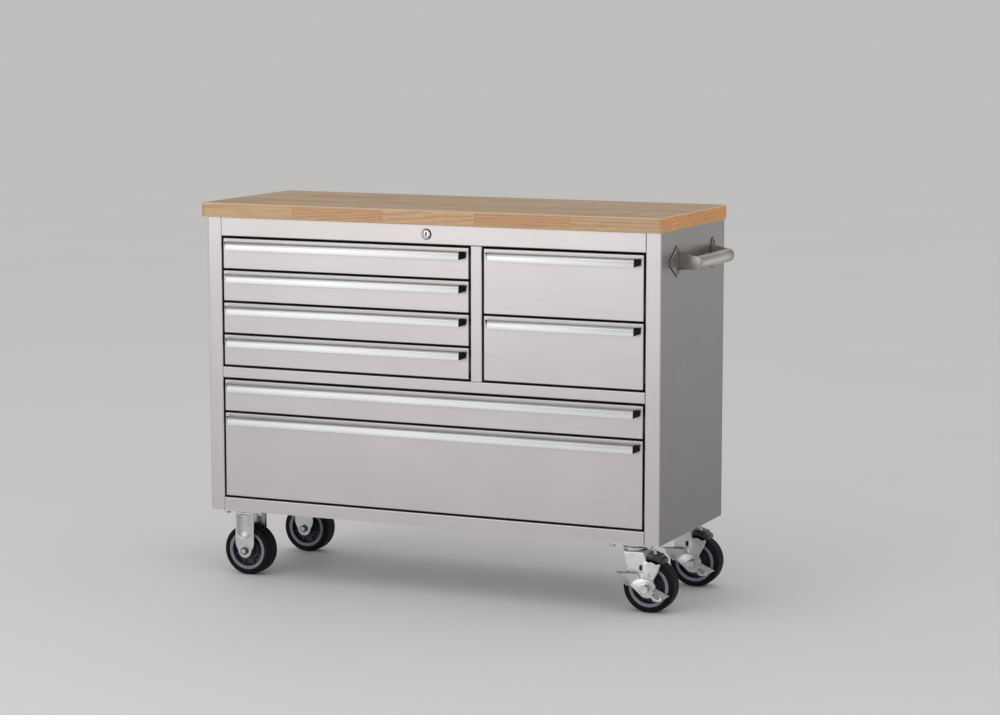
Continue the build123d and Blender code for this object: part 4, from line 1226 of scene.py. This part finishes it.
def makePedal():
    s = pedalSizes
    plane = -armSizes["face"] - s["gap"]
    trail = swivelSizes["trail"]

    def onPedal(x, z, out=0.0):
        return at(trail + x, plane + out, axleZ + z)

    # plate round the nut, drawn out into the release arm at the lower right
    outline = ((-39, 3.4), (-27, 12.5), (-15.5, 21.5), (2.5, 20.8), (15, 17), (22.8, 6.5), (20.5, -1.0),
               (14, -5.6), (27, -14.6), (41, -24.3), (37.5, -29.6), (29, -31.2), (17.7, -30.6), (11.4, -22),
               (2.5, -24.4), (-10, -22), (-24, -9.7))
    plate = plateFrom("brakePedal", [onPedal(x, z) for x, z in outline], at(0, -s["sheet"], 0))
    slot = makeCapsule("pedalSlot", s["slotLength"], s["slotWidth"] / 2, s["slotCut"],
                       onPedal(s["slotX"], s["slotZ"]), s["slotTilt"])
    cutWith(plate, slot)
    ribSpot = onPedal(s["slotX"], s["slotZ"], -s["ribSink"])
    rib = makeCapsule("pedalRib", s["slotLength"] - s["ribEnds"], s["slotWidth"] / 2 - s["ribSides"],
                      s["ribRise"], ribSpot, s["slotTilt"])

    # flange along the upper edge of that arm, folded back
    def onFlange(u, v):
        point = curvePoint(s["flangeRoot"], u).lerp(curvePoint(s["flangeBack"], u), v)
        return onPedal(point.x, point.y, point.z)

    flange = shapeGrid("pedalFlange", 12, 6, onFlange)

    # scooped foot flap with a narrow lip along its top
    def onFlap(u, v):
        start = curvePoint(s["flapHub"], u)
        stop = curvePoint(s["flapEdge"], u)
        point = start.lerp(stop, v)
        belly = s["flapBelly"] * math.sin(math.pi * v) * math.sin(math.pi * u)
        point.y = mix(start.y, stop.y, v ** s["flapSweep"]) + belly
        return onPedal(point.x, point.z, point.y - s["sheet"] / 2)

    def onLip(u, v):
        start, stop = Vector(s["flapHub"][0]), Vector(s["flapEdge"][0])
        root = start.lerp(stop, u)
        root.y = mix(start.y, stop.y, u ** s["flapSweep"])
        point = root.lerp(curvePoint(s["lipRim"], u), v)
        return onPedal(point.x, point.z, point.y - s["sheet"] / 2)

    flap = shapeGrid("pedalFlap", 24, 20, onFlap)
    lip = shapeGrid("pedalLip", 20, 4, onLip)
    joinPieces(flap, lip)
    cleanMesh(flap)
    for part in (flange, flap):
        finishWith(part, "SOLIDIFY", thickness=s["sheet"] * 0.8 * mm, offset=0)
    for part in (plate, flange, flap):
        cleanMesh(part)
        easeEdges(part, 0.4, 2, 50)
    return joinPieces(plate, flange, flap, rib)


makeSwivelForks()


# stage, light and camera

stageSizes = {"floor": 60.0, "floorTone": (0.75, 0.75, 0.745), "backdrop": (0.52, 0.517, 0.511),
              "worldLight": 0.71, "worldTone": (1.0, 0.992, 0.985), "lampTone": (1.0, 0.985, 0.97)}


def makeStage():
    s = stageSizes
    clearSelection()
    bpy.ops.mesh.primitive_plane_add(size=s["floor"], location=(0, 0, 0))
    floor = namePiece("studioFloor")
    bpy.ops.object.mode_set(mode="EDIT")
    bpy.ops.mesh.subdivide(number_cuts=3)
    closeMesh()
    floor.data.materials.append(studioFloor("studioFloor", s["floorTone"]))

    world = bpy.data.worlds.new("studioWorld")
    bpy.context.scene.world = world
    world.use_nodes = True
    nodes, links = world.node_tree.nodes, world.node_tree.links
    light = nodes["Background"]
    light.inputs["Color"].default_value = (*s["worldTone"], 1)
    light.inputs["Strength"].default_value = s["worldLight"]
    seen = nodes.new("ShaderNodeBackground")
    seen.inputs["Color"].default_value = (*s["backdrop"], 1)
    rays = nodes.new("ShaderNodeLightPath")
    share = nodes.new("ShaderNodeMath")
    share.operation = "MAXIMUM"
    links.new(rays.outputs["Is Camera Ray"], share.inputs[0])
    glossy = nodes.new("ShaderNodeMath")
    glossy.operation = "MAXIMUM"
    links.new(rays.outputs["Is Glossy Ray"], glossy.inputs[0])
    links.new(rays.outputs["Is Transmission Ray"], glossy.inputs[1])
    links.new(glossy.outputs[0], share.inputs[1])
    choose = nodes.new("ShaderNodeMixShader")
    links.new(share.outputs[0], choose.inputs[0])
    links.new(light.outputs[0], choose.inputs[1])
    links.new(seen.outputs[0], choose.inputs[2])
    links.new(choose.outputs[0], nodes["World Output"].inputs["Surface"])


lamps = {"keySoftbox": {"place": (-1.9, -4.6, 1.62), "aim": (0, -0.2, 0.7), "width": 3.2, "height": 2.2,
                        "power": 46.5},
         "topSoftbox": {"place": (-0.6, -1.2, 3.4), "aim": (0, 0, 0.5), "width": 3.0, "height": 2.0,
                        "power": 8},
         "rightFill": {"place": (4.2, -2.6, 1.9), "aim": (0.3, 0, 0.5), "width": 2.2, "height": 2.2,
                       "power": 12}}


def makeLamps():
    for name, s in lamps.items():
        lamp = bpy.data.lights.new(name, "AREA")
        lamp.shape = "RECTANGLE"
        lamp.size, lamp.size_y = s["width"], s["height"]
        lamp.energy = s["power"]
        lamp.color = stageSizes["lampTone"]
        stand = bpy.data.objects.new(name, lamp)
        bpy.context.scene.collection.objects.link(stand)
        stand.location = s["place"]
        stand.rotation_euler = (Vector(s["aim"]) - Vector(s["place"])).to_track_quat("-Z", "Y").to_euler()


cameraSizes = {"lens": 99.52, "sensor": 36, "reach": 200, "place": (2.8189, -6.1906, 1.4669), "turn": 23.905,
               "down": 7.569}


def makeCamera():
    s = cameraSizes
    eye = bpy.data.cameras.new("photoCamera")
    eye.lens = s["lens"]
    eye.sensor_width = s["sensor"]
    eye.clip_end = s["reach"]
    camera = bpy.data.objects.new("photoCamera", eye)
    bpy.context.scene.collection.objects.link(camera)
    camera.location = s["place"]
    camera.rotation_euler = (math.radians(90 - s["down"]), 0, math.radians(s["turn"]))
    bpy.context.scene.camera = camera


makeStage()
makeLamps()
makeCamera()
bpy.context.scene.view_settings.view_transform = "Standard"
print("stage, lamps and camera set")

clearSelection()
